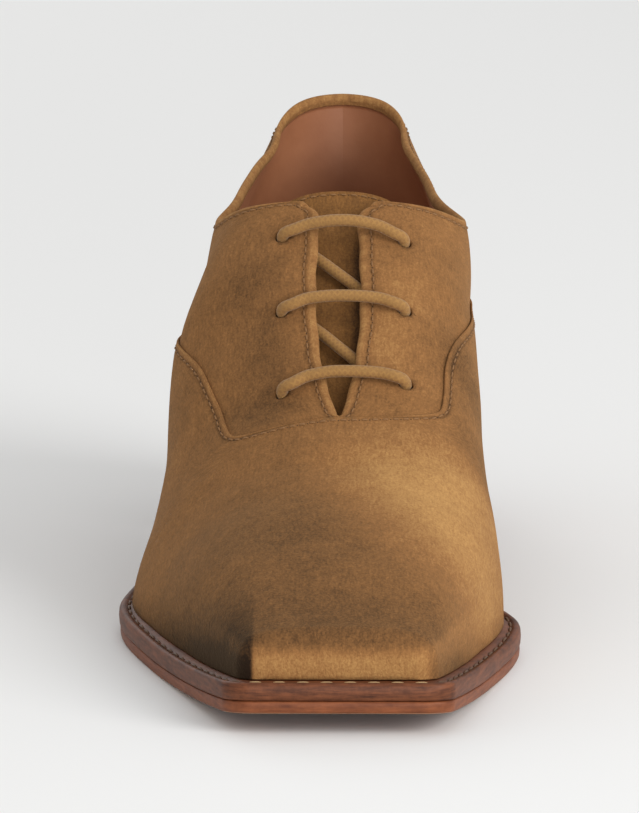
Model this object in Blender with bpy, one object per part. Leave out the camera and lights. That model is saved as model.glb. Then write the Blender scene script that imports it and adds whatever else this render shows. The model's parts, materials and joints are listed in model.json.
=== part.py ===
"""A woman's lace-up heel, the right shoe: a suede upper on a welted leather sole with a stacked heel.

Metres, +Z up. The toe points to -Y and the heel to +Y, so the wearer's outer side is -X. The shoe
stands on its heel and on the flat tread under the ball, on the plane z = 0. While the sizes are
worked out, y runs from the toe's tip, x from the line through the heel, and the finished solids
are then shifted to the middle of the footprint.
"""

import math
from collections import namedtuple

import bmesh
import bpy
import mathutils
import numpy as np

# Driving sizes
LENGTH = 0.254
BALL_WIDTH = 0.0934
HEEL_HEIGHT = 0.045
TOE_SPRING = 0.005
SEAT_SLOPE = math.radians(5)
GAP = 0.0003

# Where the sole changes, from the toe's tip
TREAD_START = 0.060
TREAD_END = 0.100
HEEL_BREAST = 0.196
HEEL_ROUND = 0.030
HEEL_CENTRE = LENGTH - HEEL_ROUND
HEEL_POWER = 2.15
TOE_CORNER = 0.005

# Thicknesses
OUTSOLE = 0.0028
WELT = 0.0039
TOP_LIFT = 0.006
INSOLE = 0.0025
QUARTER_WALL = 0.0020
VAMP_STEP = 0.0007
INNER_FACE = -VAMP_STEP - QUARTER_WALL
TONGUE = 0.0020
EDGE_EASE = 0.0004

# Upper
TOE_EDGE = 0.004
LEAST_EDGE = 0.001
TUCK_POWER = 2.5
BACK_RISE = 0.063
BACK_POWER = 1.2
CREST_TURN = math.radians(47)
CREST_WIDTH = math.radians(7)
VAMP_END = 0.0945
SLIT_START = 0.0953
FACING_TOP = 0.1470
LACE_RADIUS = 0.0014
LACE_BEND = 0.0030
HOLE_RADIUS = 0.0021
OUTER_HOLE = 0.0133
INNER_HOLE = 0.0156
TONGUE_START = 0.0840
TONGUE_END = 0.1580
TONGUE_HALF = 0.0215
TONGUE_ROUND = 0.009
TONGUE_CORNER = 0.011
TONGUE_DIP = 0.016
TONGUE_TAPER = 0.040
NARROW = 0.82
LACE_ROOM = 0.0008
LOOSE = 0.0002
SOCK_ROOM = 0.0010

# Heel: how far its block is inside the sole's edge at the seat, part way down and at the foot
SEAT_INSET = 0.0009
BLOCK_INSET = 0.0025
FOOT_INSET = 0.0036
LEAN = 1.4

# One row for each cross-section. at, height and the rest are shares: at and height of LENGTH, the
# others but the two powers of BALL_WIDTH. outer and inner are the sole's edges, lip is the sole
# beyond the upper, height and middle place the ridge, and each power and swell shapes one side.
Section = namedtuple(
    "Section", "at outer inner lip height middle outer_power inner_power outer_swell inner_swell"
)
SECTIONS = [
    Section(0.00, 0.182, 0.338, 0.048, 0.083, 0.069, 4.00, 4.00, 0.000, 0.000),
    Section(0.06, 0.240, 0.375, 0.048, 0.096, 0.067, 3.50, 3.70, 0.000, 0.000),
    Section(0.12, 0.296, 0.410, 0.048, 0.116, 0.066, 3.00, 3.40, 0.000, 0.000),
    Section(0.19, 0.361, 0.450, 0.048, 0.137, 0.063, 2.60, 3.10, 0.000, 0.000),
    Section(0.26, 0.425, 0.488, 0.044, 0.156, 0.059, 2.08, 3.01, -0.005, -0.006),
    Section(0.32, 0.473, 0.492, 0.039, 0.177, 0.054, 1.78, 2.93, -0.012, 0.000),
    Section(0.38, 0.499, 0.439, 0.031, 0.209, 0.049, 1.72, 2.87, -0.021, 0.044),
    Section(0.44, 0.481, 0.377, 0.025, 0.253, 0.043, 1.84, 2.89, -0.021, 0.088),
    Section(0.50, 0.425, 0.332, 0.020, 0.303, 0.038, 2.40, 2.87, 0.011, 0.125),
    Section(0.56, 0.369, 0.295, 0.017, 0.351, 0.034, 2.65, 2.73, 0.075, 0.154),
    Section(0.62, 0.325, 0.272, 0.015, 0.403, 0.031, 2.50, 2.64, 0.065, 0.168),
    Section(0.66, 0.306, 0.267, 0.014, 0.437, 0.029, 2.44, 2.57, 0.069, 0.173),
    Section(0.715, 0.294, 0.275, 0.014, 0.459, 0.025, 2.26, 2.28, 0.042, 0.103),
    Section(0.78, 0.294, 0.295, 0.014, 0.448, 0.020, 2.10, 2.10, 0.028, 0.050),
    Section(0.88, 0.305, 0.317, 0.015, 0.412, 0.014, 2.00, 2.00, 0.020, 0.022),
    Section(1.00, 0.305, 0.327, 0.016, 0.402, 0.013, 2.00, 2.00, 0.018, 0.018),
]

# The seam where the vamp laps the quarters, and the top line: at and height as shares of LENGTH.
Line = namedtuple("Line", "at height")
OUTER_SEAM = [
    Line(0.372, 0.1810), Line(0.380, 0.1780), Line(0.390, 0.1770), Line(0.402, 0.1795),
    Line(0.420, 0.1860), Line(0.442, 0.1970), Line(0.470, 0.2130), Line(0.490, 0.2235),
    Line(0.510, 0.2297), Line(0.535, 0.2340), Line(0.590, 0.2400), Line(0.700, 0.2560),
    Line(0.860, 0.2780), Line(1.000, 0.2970),
]
INNER_SEAM = [
    Line(0.372, 0.1880), Line(0.380, 0.1930), Line(0.396, 0.2000), Line(0.414, 0.2090),
    Line(0.433, 0.2200), Line(0.451, 0.2315), Line(0.470, 0.2425), Line(0.490, 0.2500),
    Line(0.520, 0.2540), Line(0.560, 0.2560), Line(0.620, 0.2580), Line(0.700, 0.2620),
    Line(0.860, 0.2790), Line(1.000, 0.2970),
]
SEAMS = {-1: OUTER_SEAM, 1: INNER_SEAM}
TOP_LINE = [
    Line(0.5787, 0.3675), Line(0.583, 0.3665), Line(0.588, 0.3645), Line(0.596, 0.361),
    Line(0.608, 0.355), Line(0.624, 0.347), Line(0.642, 0.339), Line(0.670, 0.336),
    Line(0.709, 0.341), Line(0.756, 0.349), Line(0.807, 0.357), Line(0.846, 0.363),
    Line(0.882, 0.369), Line(0.926, 0.379), Line(0.948, 0.387), Line(0.962, 0.3955),
    Line(0.974, 0.403), Line(0.984, 0.408),
]
SLIT = [Line(0.375, 0.0), Line(0.425, 0.0145), Line(0.579, 0.0181)]

# Stations along the shoe, as shares of the vamp, of the facings and of the collar behind them, and
# turns about the toe's edge and the heel
TOE_TURNS = [0, 30, 60, 90]
VAMP_STATIONS = [0.137, 0.202, 0.274, 0.36, 0.454, 0.562, 0.667, 0.761, 0.847, 0.925, 0.973]
FACING_STATIONS = [0.073, 0.146, 0.245, 0.343, 0.451, 0.569, 0.687, 0.805, 0.913, 1]
COLLAR_STATIONS = [
    0.0141, 0.0305, 0.0569, 0.0965, 0.1493, 0.2087, 0.2911,
    0.3835, 0.4825, 0.5847, 0.6903, 0.7958, 0.8981,
]
HEEL_TURNS = [0, 14, 28, 42, 54, 66, 78, 90]
SOLE_STATIONS = np.linspace(0.06, 0.85, 20)
SOLE_HEEL_TURNS = [0, 15, 30, 45, 60, 72, 84]
BELOW_SEAM = 6
ABOVE_SEAM = 5
SEAM_WIDTH = math.radians(0.7)


def spline_bends(xs, ys):
    """The curvatures of a natural cubic spline at its points (xs, ys)."""
    steps, count = np.diff(xs), len(xs)
    system, right = np.eye(count), np.zeros(count)
    for i in range(1, count - 1):
        system[i, i - 1:i + 2] = steps[i - 1], 2 * (steps[i - 1] + steps[i]), steps[i]
        right[i] = 6 * ((ys[i + 1] - ys[i]) / steps[i] - (ys[i] - ys[i - 1]) / steps[i - 1])
    return np.linalg.solve(system, right)


STATIONS = np.array([s.at for s in SECTIONS])
COLUMNS = {name: np.array([getattr(s, name) for s in SECTIONS]) for name in Section._fields}
BENDS = {name: spline_bends(STATIONS, values) for name, values in COLUMNS.items()}


def section(column, y, size=BALL_WIDTH):
    """One column of SECTIONS at the distance y from the toe's tip, as a length or a bare power.

    It is read from a smooth curve through the rows, a cubic spline.
    """
    at = np.clip(np.asarray(y, float) / LENGTH, 0, 1)
    i = np.clip(np.searchsorted(STATIONS, at) - 1, 0, len(STATIONS) - 2)
    step = STATIONS[i + 1] - STATIONS[i]
    a, b = (STATIONS[i + 1] - at) / step, (at - STATIONS[i]) / step
    ys, bends = COLUMNS[column], BENDS[column]
    curve = (a**3 - a) * bends[i] + (b**3 - b) * bends[i + 1]
    return size * (a * ys[i] + b * ys[i + 1] + curve * step**2 / 6)


def line(table, y):
    return LENGTH * np.interp(y / LENGTH, [p.at for p in table], [p.height for p in table])


def ease(share):
    share = np.clip(share, 0, 1)
    return share**3 * (share * (6 * share - 15) + 10)


def underside(y):
    """Height of the sole's underside: toe spring, flat tread, shank and sloping seat."""
    y = np.asarray(y, float)
    toe = TOE_SPRING * np.clip((TREAD_START - y) / TREAD_START, 0, 1) ** 1.8
    seat = HEEL_HEIGHT - (LENGTH - y) * math.tan(SEAT_SLOPE)
    return toe + seat * ease((y - TREAD_END) / (HEEL_BREAST - TREAD_END))


def feather(y):
    """Height of the upper's lower edge, a hair above the welt."""
    return underside(y) + OUTSOLE + WELT + 2 * GAP


def outline(inset=0.0, inside_lip=False, corner=TOE_CORNER, breast=None):
    """Rows (y, outer x, inner x) from toe to heel, `inset` inside the sole's edge.

    The toe's corners are quarter circles and the heel is a superellipse. A row at `breast` starts
    the outline there instead of at the toe.
    """
    def inset_at(y):
        return inset + (section("lip", y) if inside_lip else 0)

    if breast is None:
        rows = []
        for turn in np.radians(TOE_TURNS):
            y = inset_at(0) + corner * (1 - math.cos(turn))
            rows.append((y, corner * (1 - math.sin(turn)), 1))
        rows += [(s * LENGTH, 0, 1) for s in SOLE_STATIONS]
    else:
        rows = [(y, 0, 1) for y in np.linspace(breast, HEEL_CENTRE, 4)[:-1]]
    end = math.sin(math.radians(SOLE_HEEL_TURNS[-1]))
    for turn in np.radians(SOLE_HEEL_TURNS):
        back = (HEEL_ROUND - inset_at(LENGTH)) * (math.sin(turn) / end) ** (2 / HEEL_POWER)
        rows.append((HEEL_CENTRE + back, 0, math.cos(turn) ** (2 / HEEL_POWER)))
    result = []
    for y, cut, narrow in rows:
        outer, inner = section("outer", y), section("inner", y)
        half = ((outer + inner) / 2 - inset_at(y) - cut) * narrow
        result.append((y, (inner - outer) / 2 - half, (inner - outer) / 2 + half))
    return result


def half_arch(side, row, offset, turns):
    """Points up one side of the upper from its lower edge towards its ridge.

    It is a quarter of a superellipse from the ridge down to a girth wider than the foot by the
    swell, tucked in to the foot point below. `row` is ("toe", turn about the toe's top edge),
    ("side", y) or ("heel", turn about the heel's centre), and `offset` moves it all outward.
    """
    kind, value = row
    column = "outer" if side < 0 else "inner"
    drop, cut = 0.0, 0.0
    centre_y = value
    if kind == "toe":
        edge = max(TOE_EDGE + offset, LEAST_EDGE)
        y = section("lip", 0) - offset + edge * (1 - math.cos(value))
        cut, drop, centre_y = edge * (1 - math.sin(value)), edge * (1 - math.sin(value)), y
    elif kind == "heel":
        centre_y = HEEL_CENTRE
        reach = HEEL_ROUND - section("lip", LENGTH) + offset
        y = HEEL_CENTRE + reach * math.sin(value) ** (2 / HEEL_POWER)
    else:
        y = value
    outer, inner = section("outer", y), section("inner", y)
    half = (outer + inner) / 2 - section("lip", y) + offset - cut
    if kind == "heel":
        half *= max(math.cos(value), 0) ** (2 / HEEL_POWER)
    foot = np.array([(inner - outer) / 2 + side * half, y])
    top = np.array([float(section("middle", centre_y)), centre_y])
    step = 0.001
    climb = (section("height", centre_y + step, LENGTH) - section("height", centre_y - step, LENGTH))
    ridge = section("height", centre_y, LENGTH) - drop
    if kind == "heel":
        ridge += offset + BACK_RISE * (1 - math.cos(value)) ** BACK_POWER
    else:
        ridge += offset * math.hypot(1, climb / (2 * step))
    power = section(column + "_power", y, 1)
    swell = section(column + "_swell", y)
    turns = np.asarray(turns, float)
    across, up = np.abs(np.cos(turns)), np.abs(np.sin(turns))
    reach = (across**power + up**power) ** (-1 / power)
    across, up = reach * across, reach * up
    run = foot - top
    tuck = across - np.clip(1 - up, 0, 1) ** TUCK_POWER
    share = across + swell * tuck / np.hypot(*run)
    height = feather(y) + (ridge - feather(y)) * up
    return np.column_stack([top + run * share[:, None], height])


def turn_where(side, row, offset, reached):
    """The turn at which the arch first satisfies `reached`, a test of its points, by halving."""
    low, high = 0.0, math.pi / 2
    for _ in range(40):
        middle = (low + high) / 2
        if reached(half_arch(side, row, offset, [middle])[0]):
            high = middle
        else:
            low = middle
    return high


def turn_at_height(side, row, offset, height):
    return turn_where(side, row, offset, lambda p: p[2] >= height)


def turn_at_reach(side, row, offset, reach):
    """The turn at which the upper half of the arch comes within `reach` of the ridge's line."""
    middle = section("middle", row[1])
    low, high = math.radians(35), math.pi / 2
    for _ in range(40):
        turn = (low + high) / 2
        if abs(half_arch(side, row, offset, [turn])[0][0] - middle) <= reach:
            high = turn
        else:
            low = turn
    return high


def row_y(row):
    return HEEL_CENTRE + HEEL_ROUND * math.sin(row[1]) if row[0] == "heel" else row[1]


def column_turns(side, row, lapped):
    """The turns of one column of the upper: up to the seam, a hair past it, and on to its end."""
    y, offset = row_y(row), -VAMP_STEP if lapped else 0.0
    if row[0] == "side" and SLIT_START < y <= FACING_TOP:
        end = turn_at_reach(side, row, offset, float(line(SLIT, y)))
    elif row[0] == "toe" or y <= SLIT_START:
        end = math.pi / 2
    else:
        back = half_arch(side, row, offset, [0.6])[0][1]
        end = turn_at_height(side, row, offset, float(line(TOP_LINE, back)))
    if row[0] != "toe" and y > VAMP_END:
        seam, width = turn_at_height(side, row, offset, float(line(SEAMS[side], y))), SEAM_WIDTH
    else:
        last = turn_at_height(side, ("side", VAMP_END), offset, float(line(SEAMS[side], VAMP_END)))
        share = 0 if row[0] == "toe" else ease(y / VAMP_END)
        seam = CREST_TURN * (1 - share) + last * share
        width = CREST_WIDTH * (1 - share**2) + SEAM_WIDTH * share**2
    return np.concatenate([
        np.linspace(0, seam, BELOW_SEAM + 1), np.linspace(seam + width, end, ABOVE_SEAM + 1)])


def column(side, row, lapped=False):
    """Outer and inner points of one column. Where `lapped`, the part above the seam is lower."""
    turns = column_turns(side, row, lapped)
    outside = half_arch(side, row, 0.0, turns)
    if lapped:
        outside[BELOW_SEAM + 1:] = half_arch(side, row, -VAMP_STEP, turns)[BELOW_SEAM + 1:]
    return np.stack([outside, half_arch(side, row, INNER_FACE, turns)])


def principled(name, color, roughness):
    material = bpy.data.materials.new(name)
    material.use_nodes = True
    shader = material.node_tree.nodes["Principled BSDF"]
    shader.inputs["Base Color"].default_value = (*color, 1)
    shader.inputs["Roughness"].default_value = roughness
    material.diffuse_color = (*color, 1)
    return material


def add_mesh(name, points, faces, material, collection):
    """A mesh object from points in the working frame, shifted to the footprint's middle."""
    mesh = bpy.data.meshes.new(name)
    bm = bmesh.new()
    verts = [bm.verts.new(p) for p in np.asarray(points) - MIDDLE]
    for face in faces:
        bm.faces.new([verts[i] for i in face])
    bmesh.ops.recalc_face_normals(bm, faces=bm.faces)
    bm.to_mesh(mesh)
    bm.free()
    mesh.shade_smooth()
    mesh.set_sharp_from_angle(angle=math.radians(35))
    mesh.materials.append(material)
    obj = bpy.data.objects.new(name, mesh)
    collection.objects.link(obj)
    return obj


def add_layers(name, levels, material):
    """A plate or block lofted through outlines. Each level is (outline rows, height function)."""
    points, faces, count = [], [], len(levels[0][0])
    for rows, height in levels:
        points += [(outer, y, height(y)) for y, outer, inner in rows]
        points += [(inner, y, height(y)) for y, outer, inner in reversed(rows)]
    ring = 2 * count
    for level in range(len(levels) - 1):
        for i in range(ring):
            a, b = level * ring + i, level * ring + (i + 1) % ring
            faces.append((a, b, b + ring, a + ring))
    for first in (0, (len(levels) - 1) * ring):
        for i in range(count - 1):
            faces.append((first + i, first + i + 1, first + ring - 2 - i, first + ring - 1 - i))
    return add_mesh(name, points, faces, material, shoe)


def add_shell(name, rows, strips, material):
    """A solid between two skins that share their rows of (outer, inner) points.

    `strips` are pairs of equal lists of point numbers with faces between them. Each edge that
    only one face uses becomes a rim between the skins.
    """
    count = len(rows)
    faces = []
    for one, other in strips:
        for a, b, c, d in zip(one, one[1:], other[1:], other):
            corners = list(dict.fromkeys([a, b, c, d]))
            if len(corners) > 2:
                faces.append(corners)
    used = {}
    for face in faces:
        for a, b in zip(face, face[1:] + face[:1]):
            used.setdefault(frozenset((a, b)), []).append((a, b))
    rims = [(b, a, a + count, b + count) for (a, b), *more in used.values() if not more]
    inner = [[i + count for i in reversed(face)] for face in faces]
    points = [p[0] for p in rows] + [p[1] for p in rows]
    return add_mesh(name, points, faces + inner + rims, material, shoe)


def build_upper():
    """One hollow solid: full arches over the vamp, then a wall round the open throat and collar."""
    rows = []

    def keep(points):
        first = len(rows)
        rows.extend(np.swapaxes(points, 0, 1))
        return list(range(first, len(rows)))

    strips = []
    full = [("toe", t) for t in np.radians(TOE_TURNS)]
    full += [("side", s * VAMP_END) for s in VAMP_STATIONS] + [("side", VAMP_END)]
    full += [("side", VAMP_END + 0.00025), ("side", SLIT_START)]
    arches = []
    for row in full:
        lapped = row[1] > VAMP_END and row[0] == "side"
        left, right = column(-1, row, lapped), column(1, row, lapped)
        arches.append(keep(np.concatenate([left, right[:, -2::-1]], axis=1)))
    # The toe's front wall stands on a straight edge, which shares its ends with the first arch.
    sill = np.stack([rows[i] for i in arches[0][1:-1]], axis=1)
    ends = [rows[arches[0][0]], rows[arches[0][-1]]]
    for skin_, (start, end) in enumerate(zip(*ends)):
        sill[skin_] = np.linspace(start, end, len(arches[0]))[1:-1]
    sill = [arches[0][0]] + keep(sill) + [arches[0][-1]]
    strips += list(zip([sill] + arches, arches))
    sides = []
    facing, collar = FACING_TOP - SLIT_START, HEEL_CENTRE - FACING_TOP
    stretch = [("side", SLIT_START + s * facing) for s in FACING_STATIONS]
    stretch += [("side", FACING_TOP + s * collar) for s in COLLAR_STATIONS]
    stretch += [("heel", t) for t in np.radians(HEEL_TURNS)]
    middle = BELOW_SEAM + ABOVE_SEAM + 1
    for side, start in ((-1, arches[-1][:middle + 1]), (1, arches[-1][:middle - 1:-1])):
        columns = [start]
        for row in stretch[:-1]:
            columns.append(keep(column(side, row, True)))
        sides.append(columns)
    back = keep(column(-1, stretch[-1], True))
    outer, inner = sides[0] + [back], sides[1] + [back]
    strips += list(zip(outer, outer[1:])) + list(zip(inner[1:], inner))
    return add_shell("upper", rows, strips, suede)


def skin(y, x):
    """A point of the quarter's outer face near the ridge, and its outward normal."""
    def at(y, x):
        side, row = (-1 if x < section("middle", y) else 1), ("side", y)
        turn = turn_at_reach(side, row, -VAMP_STEP, abs(x - section("middle", y)))
        return half_arch(side, row, -VAMP_STEP, [turn])[0]

    step = 0.0005
    along, across = at(y + step, x) - at(y - step, x), at(y, x + step) - at(y, x - step)
    normal = np.cross(across, along)
    return at(y, x), normal / np.linalg.norm(normal)


def eyelet(level, side):
    """The place (y, x) of a lace hole: three levels up the facings, on the outer or inner one."""
    y = LENGTH * (0.417, 0.486, 0.553)[level]
    return y, section("middle", y) + (INNER_HOLE if side > 0 else -OUTER_HOLE)


def cut_lace_holes(upper):
    """Six holes punched square through the facings."""
    for level in range(3):
        for side in (-1, 1):
            point, normal = skin(*eyelet(level, side))
            mesh = bpy.data.meshes.new("lace_hole")
            bm = bmesh.new()
            bmesh.ops.create_cone(
                bm, cap_ends=True, segments=12, radius1=HOLE_RADIUS, radius2=HOLE_RADIUS,
                depth=0.012)
            bm.to_mesh(mesh)
            bm.free()
            cutter = bpy.data.objects.new("lace_hole", mesh)
            cutter.location = point - MIDDLE
            cutter.rotation_mode = "QUATERNION"
            cutter.rotation_quaternion = mathutils.Vector(normal).to_track_quat("Z", "Y")
            cutter.hide_render = True
            cutter.display_type = "WIRE"
            cutters.objects.link(cutter)
    holes = upper.modifiers.new("lace holes", "BOOLEAN")
    holes.operand_type = "COLLECTION"
    holes.collection = cutters


def bend(level, side, toward, start, end):
    """Lace points round the facing's edge at a hole, turning in the plane of `toward`."""
    point, normal = skin(*eyelet(level, side))
    toward = toward - normal * np.dot(toward, normal)
    toward = toward / np.linalg.norm(toward)
    centre = point - normal * QUARTER_WALL / 2 + toward * LACE_BEND
    return [centre + LACE_BEND * (normal * math.sin(t) - toward * math.cos(t))
            for t in np.radians(np.linspace(start, end, 5))]


def run(start, end, count, height, lift=0.0):
    """Lace points at `height` above the facings between two places (y, x), arched by `lift`."""
    points = []
    for share in np.linspace(0, 1, count + 2)[1:-1]:
        place = np.array(start) * (1 - share) + np.array(end) * share
        point, normal = skin(*place)
        points.append(point + normal * (height + lift * math.sin(math.pi * share)))
    return points


def lace_path():
    """One lace: hidden up the outer facing, out at the lowest hole, then bar, crossing and bar."""
    outside, inside = LACE_BEND - QUARTER_WALL / 2, -LACE_BEND - QUARTER_WALL / 2
    inward, outward = np.array([1.0, 0, 0]), np.array([-1.0, 0, 0])
    up_facing = np.array([-0.75, 1.0, 0])
    y, x = eyelet(0, -1)
    top = eyelet(2, -1)
    points = run((top[0] - 0.004, x - 0.0065), (y + 0.005, x - 0.0045), 8, inside)
    points += bend(0, -1, up_facing, -90, 0)[:-1] + bend(0, -1, inward, 0, 90)
    for level in range(3):
        y, x = eyelet(level, -1)
        other = eyelet(level, 1)
        start, end = (y, x + LACE_BEND), (other[0], other[1] - LACE_BEND)
        points += run(start, end, 7, outside, (0.0002, 0.0006, 0.0022)[level])
        points += bend(level, 1, outward, 90, -90 if level < 2 else -60)
        if level < 2:
            y, x = eyelet(level + 1, -1)
            points += run(end, (y, x + LACE_BEND), 6, inside)
            points += bend(level + 1, -1, inward, -90, 90)
    return points


def build_laces():
    curve = bpy.data.curves.new("laces", "CURVE")
    curve.dimensions = "3D"
    curve.bevel_depth = LACE_RADIUS
    curve.bevel_resolution = 2
    curve.use_fill_caps = True
    points = lace_path()
    spline_ = curve.splines.new("POLY")
    spline_.points.add(len(points) - 1)
    for target, point in zip(spline_.points, points):
        target.co = (*(point - MIDDLE), 1)
    curve.materials.append(lace_cotton)
    obj = bpy.data.objects.new("laces", curve)
    shoe.objects.link(obj)
    return obj


def build_tongue():
    """A curved plate under the facings, dropping below the lace, with a rounded top."""
    straight = TONGUE_END - TONGUE_ROUND
    levels = np.concatenate([
        np.linspace(TONGUE_START, straight, 11),
        straight + TONGUE_ROUND * np.sin(np.radians([30, 55, 75, 90]))])
    count, rows = 11, []
    for y in levels:
        under = ease((y - TONGUE_START) / TONGUE_DIP)
        depth = INNER_FACE - GAP - LOOSE - under * (2 * LACE_RADIUS + LACE_ROOM)
        rounding = np.clip((y - straight) / TONGUE_ROUND, 0, 1)
        half = TONGUE_HALF - TONGUE_CORNER * (1 - math.sqrt(max(1 - rounding**2, 0)))
        half *= NARROW + (1 - NARROW) * ease((y - TONGUE_START) / TONGUE_TAPER)
        for reach in np.linspace(-half, half, count):
            side, row = (-1 if reach < 0 else 1), ("side", y)
            rows.append([
                half_arch(side, row, d, [turn_at_reach(side, row, d, abs(reach))])[0]
                for d in (depth, depth - TONGUE)])
    strips = [(list(range(i * count, (i + 1) * count)), list(range((i + 1) * count, (i + 2) * count)))
              for i in range(len(levels) - 1)]
    return add_shell("tongue", rows, strips, suede)


def build_sole():
    """Outsole, welt and insole, each a plate that follows the underside of the last."""
    def at(height):
        return lambda y: underside(y) + height

    add_layers("outsole", [
        (outline(2 * EDGE_EASE), at(0)), (outline(EDGE_EASE), at(EDGE_EASE)),
        (outline(EDGE_EASE), at(OUTSOLE - EDGE_EASE)), (outline(2 * EDGE_EASE), at(OUTSOLE))],
        sole_leather)
    base = OUTSOLE + GAP
    add_layers("welt", [
        (outline(EDGE_EASE), at(base)), (outline(0.0), at(base + EDGE_EASE)),
        (outline(0.0), at(base + WELT - 2 * EDGE_EASE)),
        (outline(2 * EDGE_EASE), at(base + WELT))], welt_leather)
    inside = -INNER_FACE + GAP + SOCK_ROOM
    lower = OUTSOLE + WELT + 2 * GAP
    add_layers("insole", [
        (outline(inside, True, 0.002), at(lower)),
        (outline(inside, True, 0.002), at(lower + INSOLE))], lining_leather)


def build_heel():
    """A stacked block that tapers to its rubber top piece, with a leaning breast."""
    def ring(inset):
        return outline(inset, breast=HEEL_BREAST + LEAN * (inset - SEAT_INSET))

    add_layers("heel", [
        (ring(FOOT_INSET), lambda y: TOP_LIFT + GAP),
        (ring(BLOCK_INSET), lambda y: (TOP_LIFT + underside(HEEL_BREAST)) / 2),
        (ring(SEAT_INSET), lambda y: underside(y) - GAP)], heel_leather)
    add_layers("top_lift", [
        (ring(FOOT_INSET + EDGE_EASE), lambda y: 0.0),
        (ring(FOOT_INSET), lambda y: EDGE_EASE),
        (ring(FOOT_INSET), lambda y: TOP_LIFT)], rubber)


for old in list(bpy.data.objects):
    bpy.data.objects.remove(old)
shoe = bpy.data.collections.new("lace_up_heel")
cutters = bpy.data.collections.new("cutters")
for group in (shoe, cutters):
    bpy.context.scene.collection.children.link(group)

suede = principled("suede", (0.275, 0.150, 0.047), 0.95)
lace_cotton = principled("lace cotton", (0.380, 0.220, 0.070), 0.85)
sole_leather = principled("sole leather", (0.200, 0.060, 0.026), 0.50)
welt_leather = principled("welt leather", (0.090, 0.036, 0.020), 0.45)
heel_leather = principled("heel leather", (0.080, 0.032, 0.018), 0.45)
lining_leather = principled("lining leather", (0.270, 0.120, 0.080), 0.60)
rubber = principled("rubber", (0.020, 0.018, 0.016), 0.80)

edge = outline()
MIDDLE = np.array([
    (min(row[1] for row in edge) + max(row[2] for row in edge)) / 2, LENGTH / 2, 0.0])
build_sole()
build_heel()
cut_lace_holes(build_upper())
build_tongue()
build_laces()
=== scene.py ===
"""The looks of a woman's suede lace-up heel, the right shoe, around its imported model.

Metres, +Z up, the toe to -Y, the wearer's outer side to -X. The forms repeat the model's own
functions in the working frame, where y runs from the toe's tip. A row runs up one side of the
shoe from the welt to the ridge, and a turn, from 0 to 90 degrees, says how far up it a point is.
"""

import json
import math
from collections import namedtuple

import bmesh
import bpy
import mathutils
import numpy as np
from mathutils.bvhtree import BVHTree
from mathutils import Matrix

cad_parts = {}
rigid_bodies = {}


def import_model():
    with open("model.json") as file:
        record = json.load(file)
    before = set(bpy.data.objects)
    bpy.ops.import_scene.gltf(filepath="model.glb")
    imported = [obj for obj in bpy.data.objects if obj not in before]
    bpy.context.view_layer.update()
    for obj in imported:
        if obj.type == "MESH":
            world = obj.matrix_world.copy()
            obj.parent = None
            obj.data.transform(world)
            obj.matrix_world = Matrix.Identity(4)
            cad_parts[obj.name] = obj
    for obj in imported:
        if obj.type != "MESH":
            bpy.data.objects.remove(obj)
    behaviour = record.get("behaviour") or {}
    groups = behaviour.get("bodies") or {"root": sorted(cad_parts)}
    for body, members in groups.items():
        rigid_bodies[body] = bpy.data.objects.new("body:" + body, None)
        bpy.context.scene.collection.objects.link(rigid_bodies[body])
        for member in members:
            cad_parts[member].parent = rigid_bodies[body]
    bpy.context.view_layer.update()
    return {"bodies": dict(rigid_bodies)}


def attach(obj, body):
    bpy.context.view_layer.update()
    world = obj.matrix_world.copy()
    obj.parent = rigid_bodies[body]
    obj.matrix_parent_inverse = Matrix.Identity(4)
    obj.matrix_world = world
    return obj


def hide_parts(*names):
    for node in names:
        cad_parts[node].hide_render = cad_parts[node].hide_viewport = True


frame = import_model()
BODY = next(iter(frame["bodies"]))

# The model's own sizes
LENGTH = 0.254
BALL_WIDTH = 0.0934
HEEL_HEIGHT = 0.045
TOE_SPRING = 0.005
SEAT_SLOPE = math.radians(5)
GAP = 0.0003
TREAD_START = 0.060
TREAD_END = 0.100
HEEL_BREAST = 0.196
HEEL_ROUND = 0.030
HEEL_CENTRE = LENGTH - HEEL_ROUND
HEEL_POWER = 2.15
TOE_CORNER = 0.005
OUTSOLE = 0.0028
WELT = 0.0039
TOP_LIFT = 0.006
INSOLE = 0.0025
QUARTER_WALL = 0.0020
VAMP_STEP = 0.0007
INNER_FACE = -VAMP_STEP - QUARTER_WALL
TONGUE = 0.0020
EDGE_EASE = 0.0004
TOE_EDGE = 0.004
LEAST_EDGE = 0.001
TUCK_POWER = 2.5
BACK_RISE = 0.063
BACK_POWER = 1.2
VAMP_END = 0.0945
SLIT_START = 0.0953
FACING_TOP = 0.1470
LACE_RADIUS = 0.0014
LACE_BEND = 0.0030
HOLE_RADIUS = 0.0021
OUTER_HOLE = 0.0133
INNER_HOLE = 0.0156
HOLE_LEVELS = (0.417, 0.486, 0.553)
TONGUE_START = 0.0840
TONGUE_END = 0.1580
TONGUE_HALF = 0.0215
TONGUE_ROUND = 0.009
TONGUE_CORNER = 0.011
TONGUE_DIP = 0.016
TONGUE_TAPER = 0.040
NARROW = 0.82
LACE_ROOM = 0.0008
LOOSE = 0.0002
SOCK_ROOM = 0.0010
SEAT_INSET = 0.0009
BLOCK_INSET = 0.0025
FOOT_INSET = 0.0036
LEAN = 1.4

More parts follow.
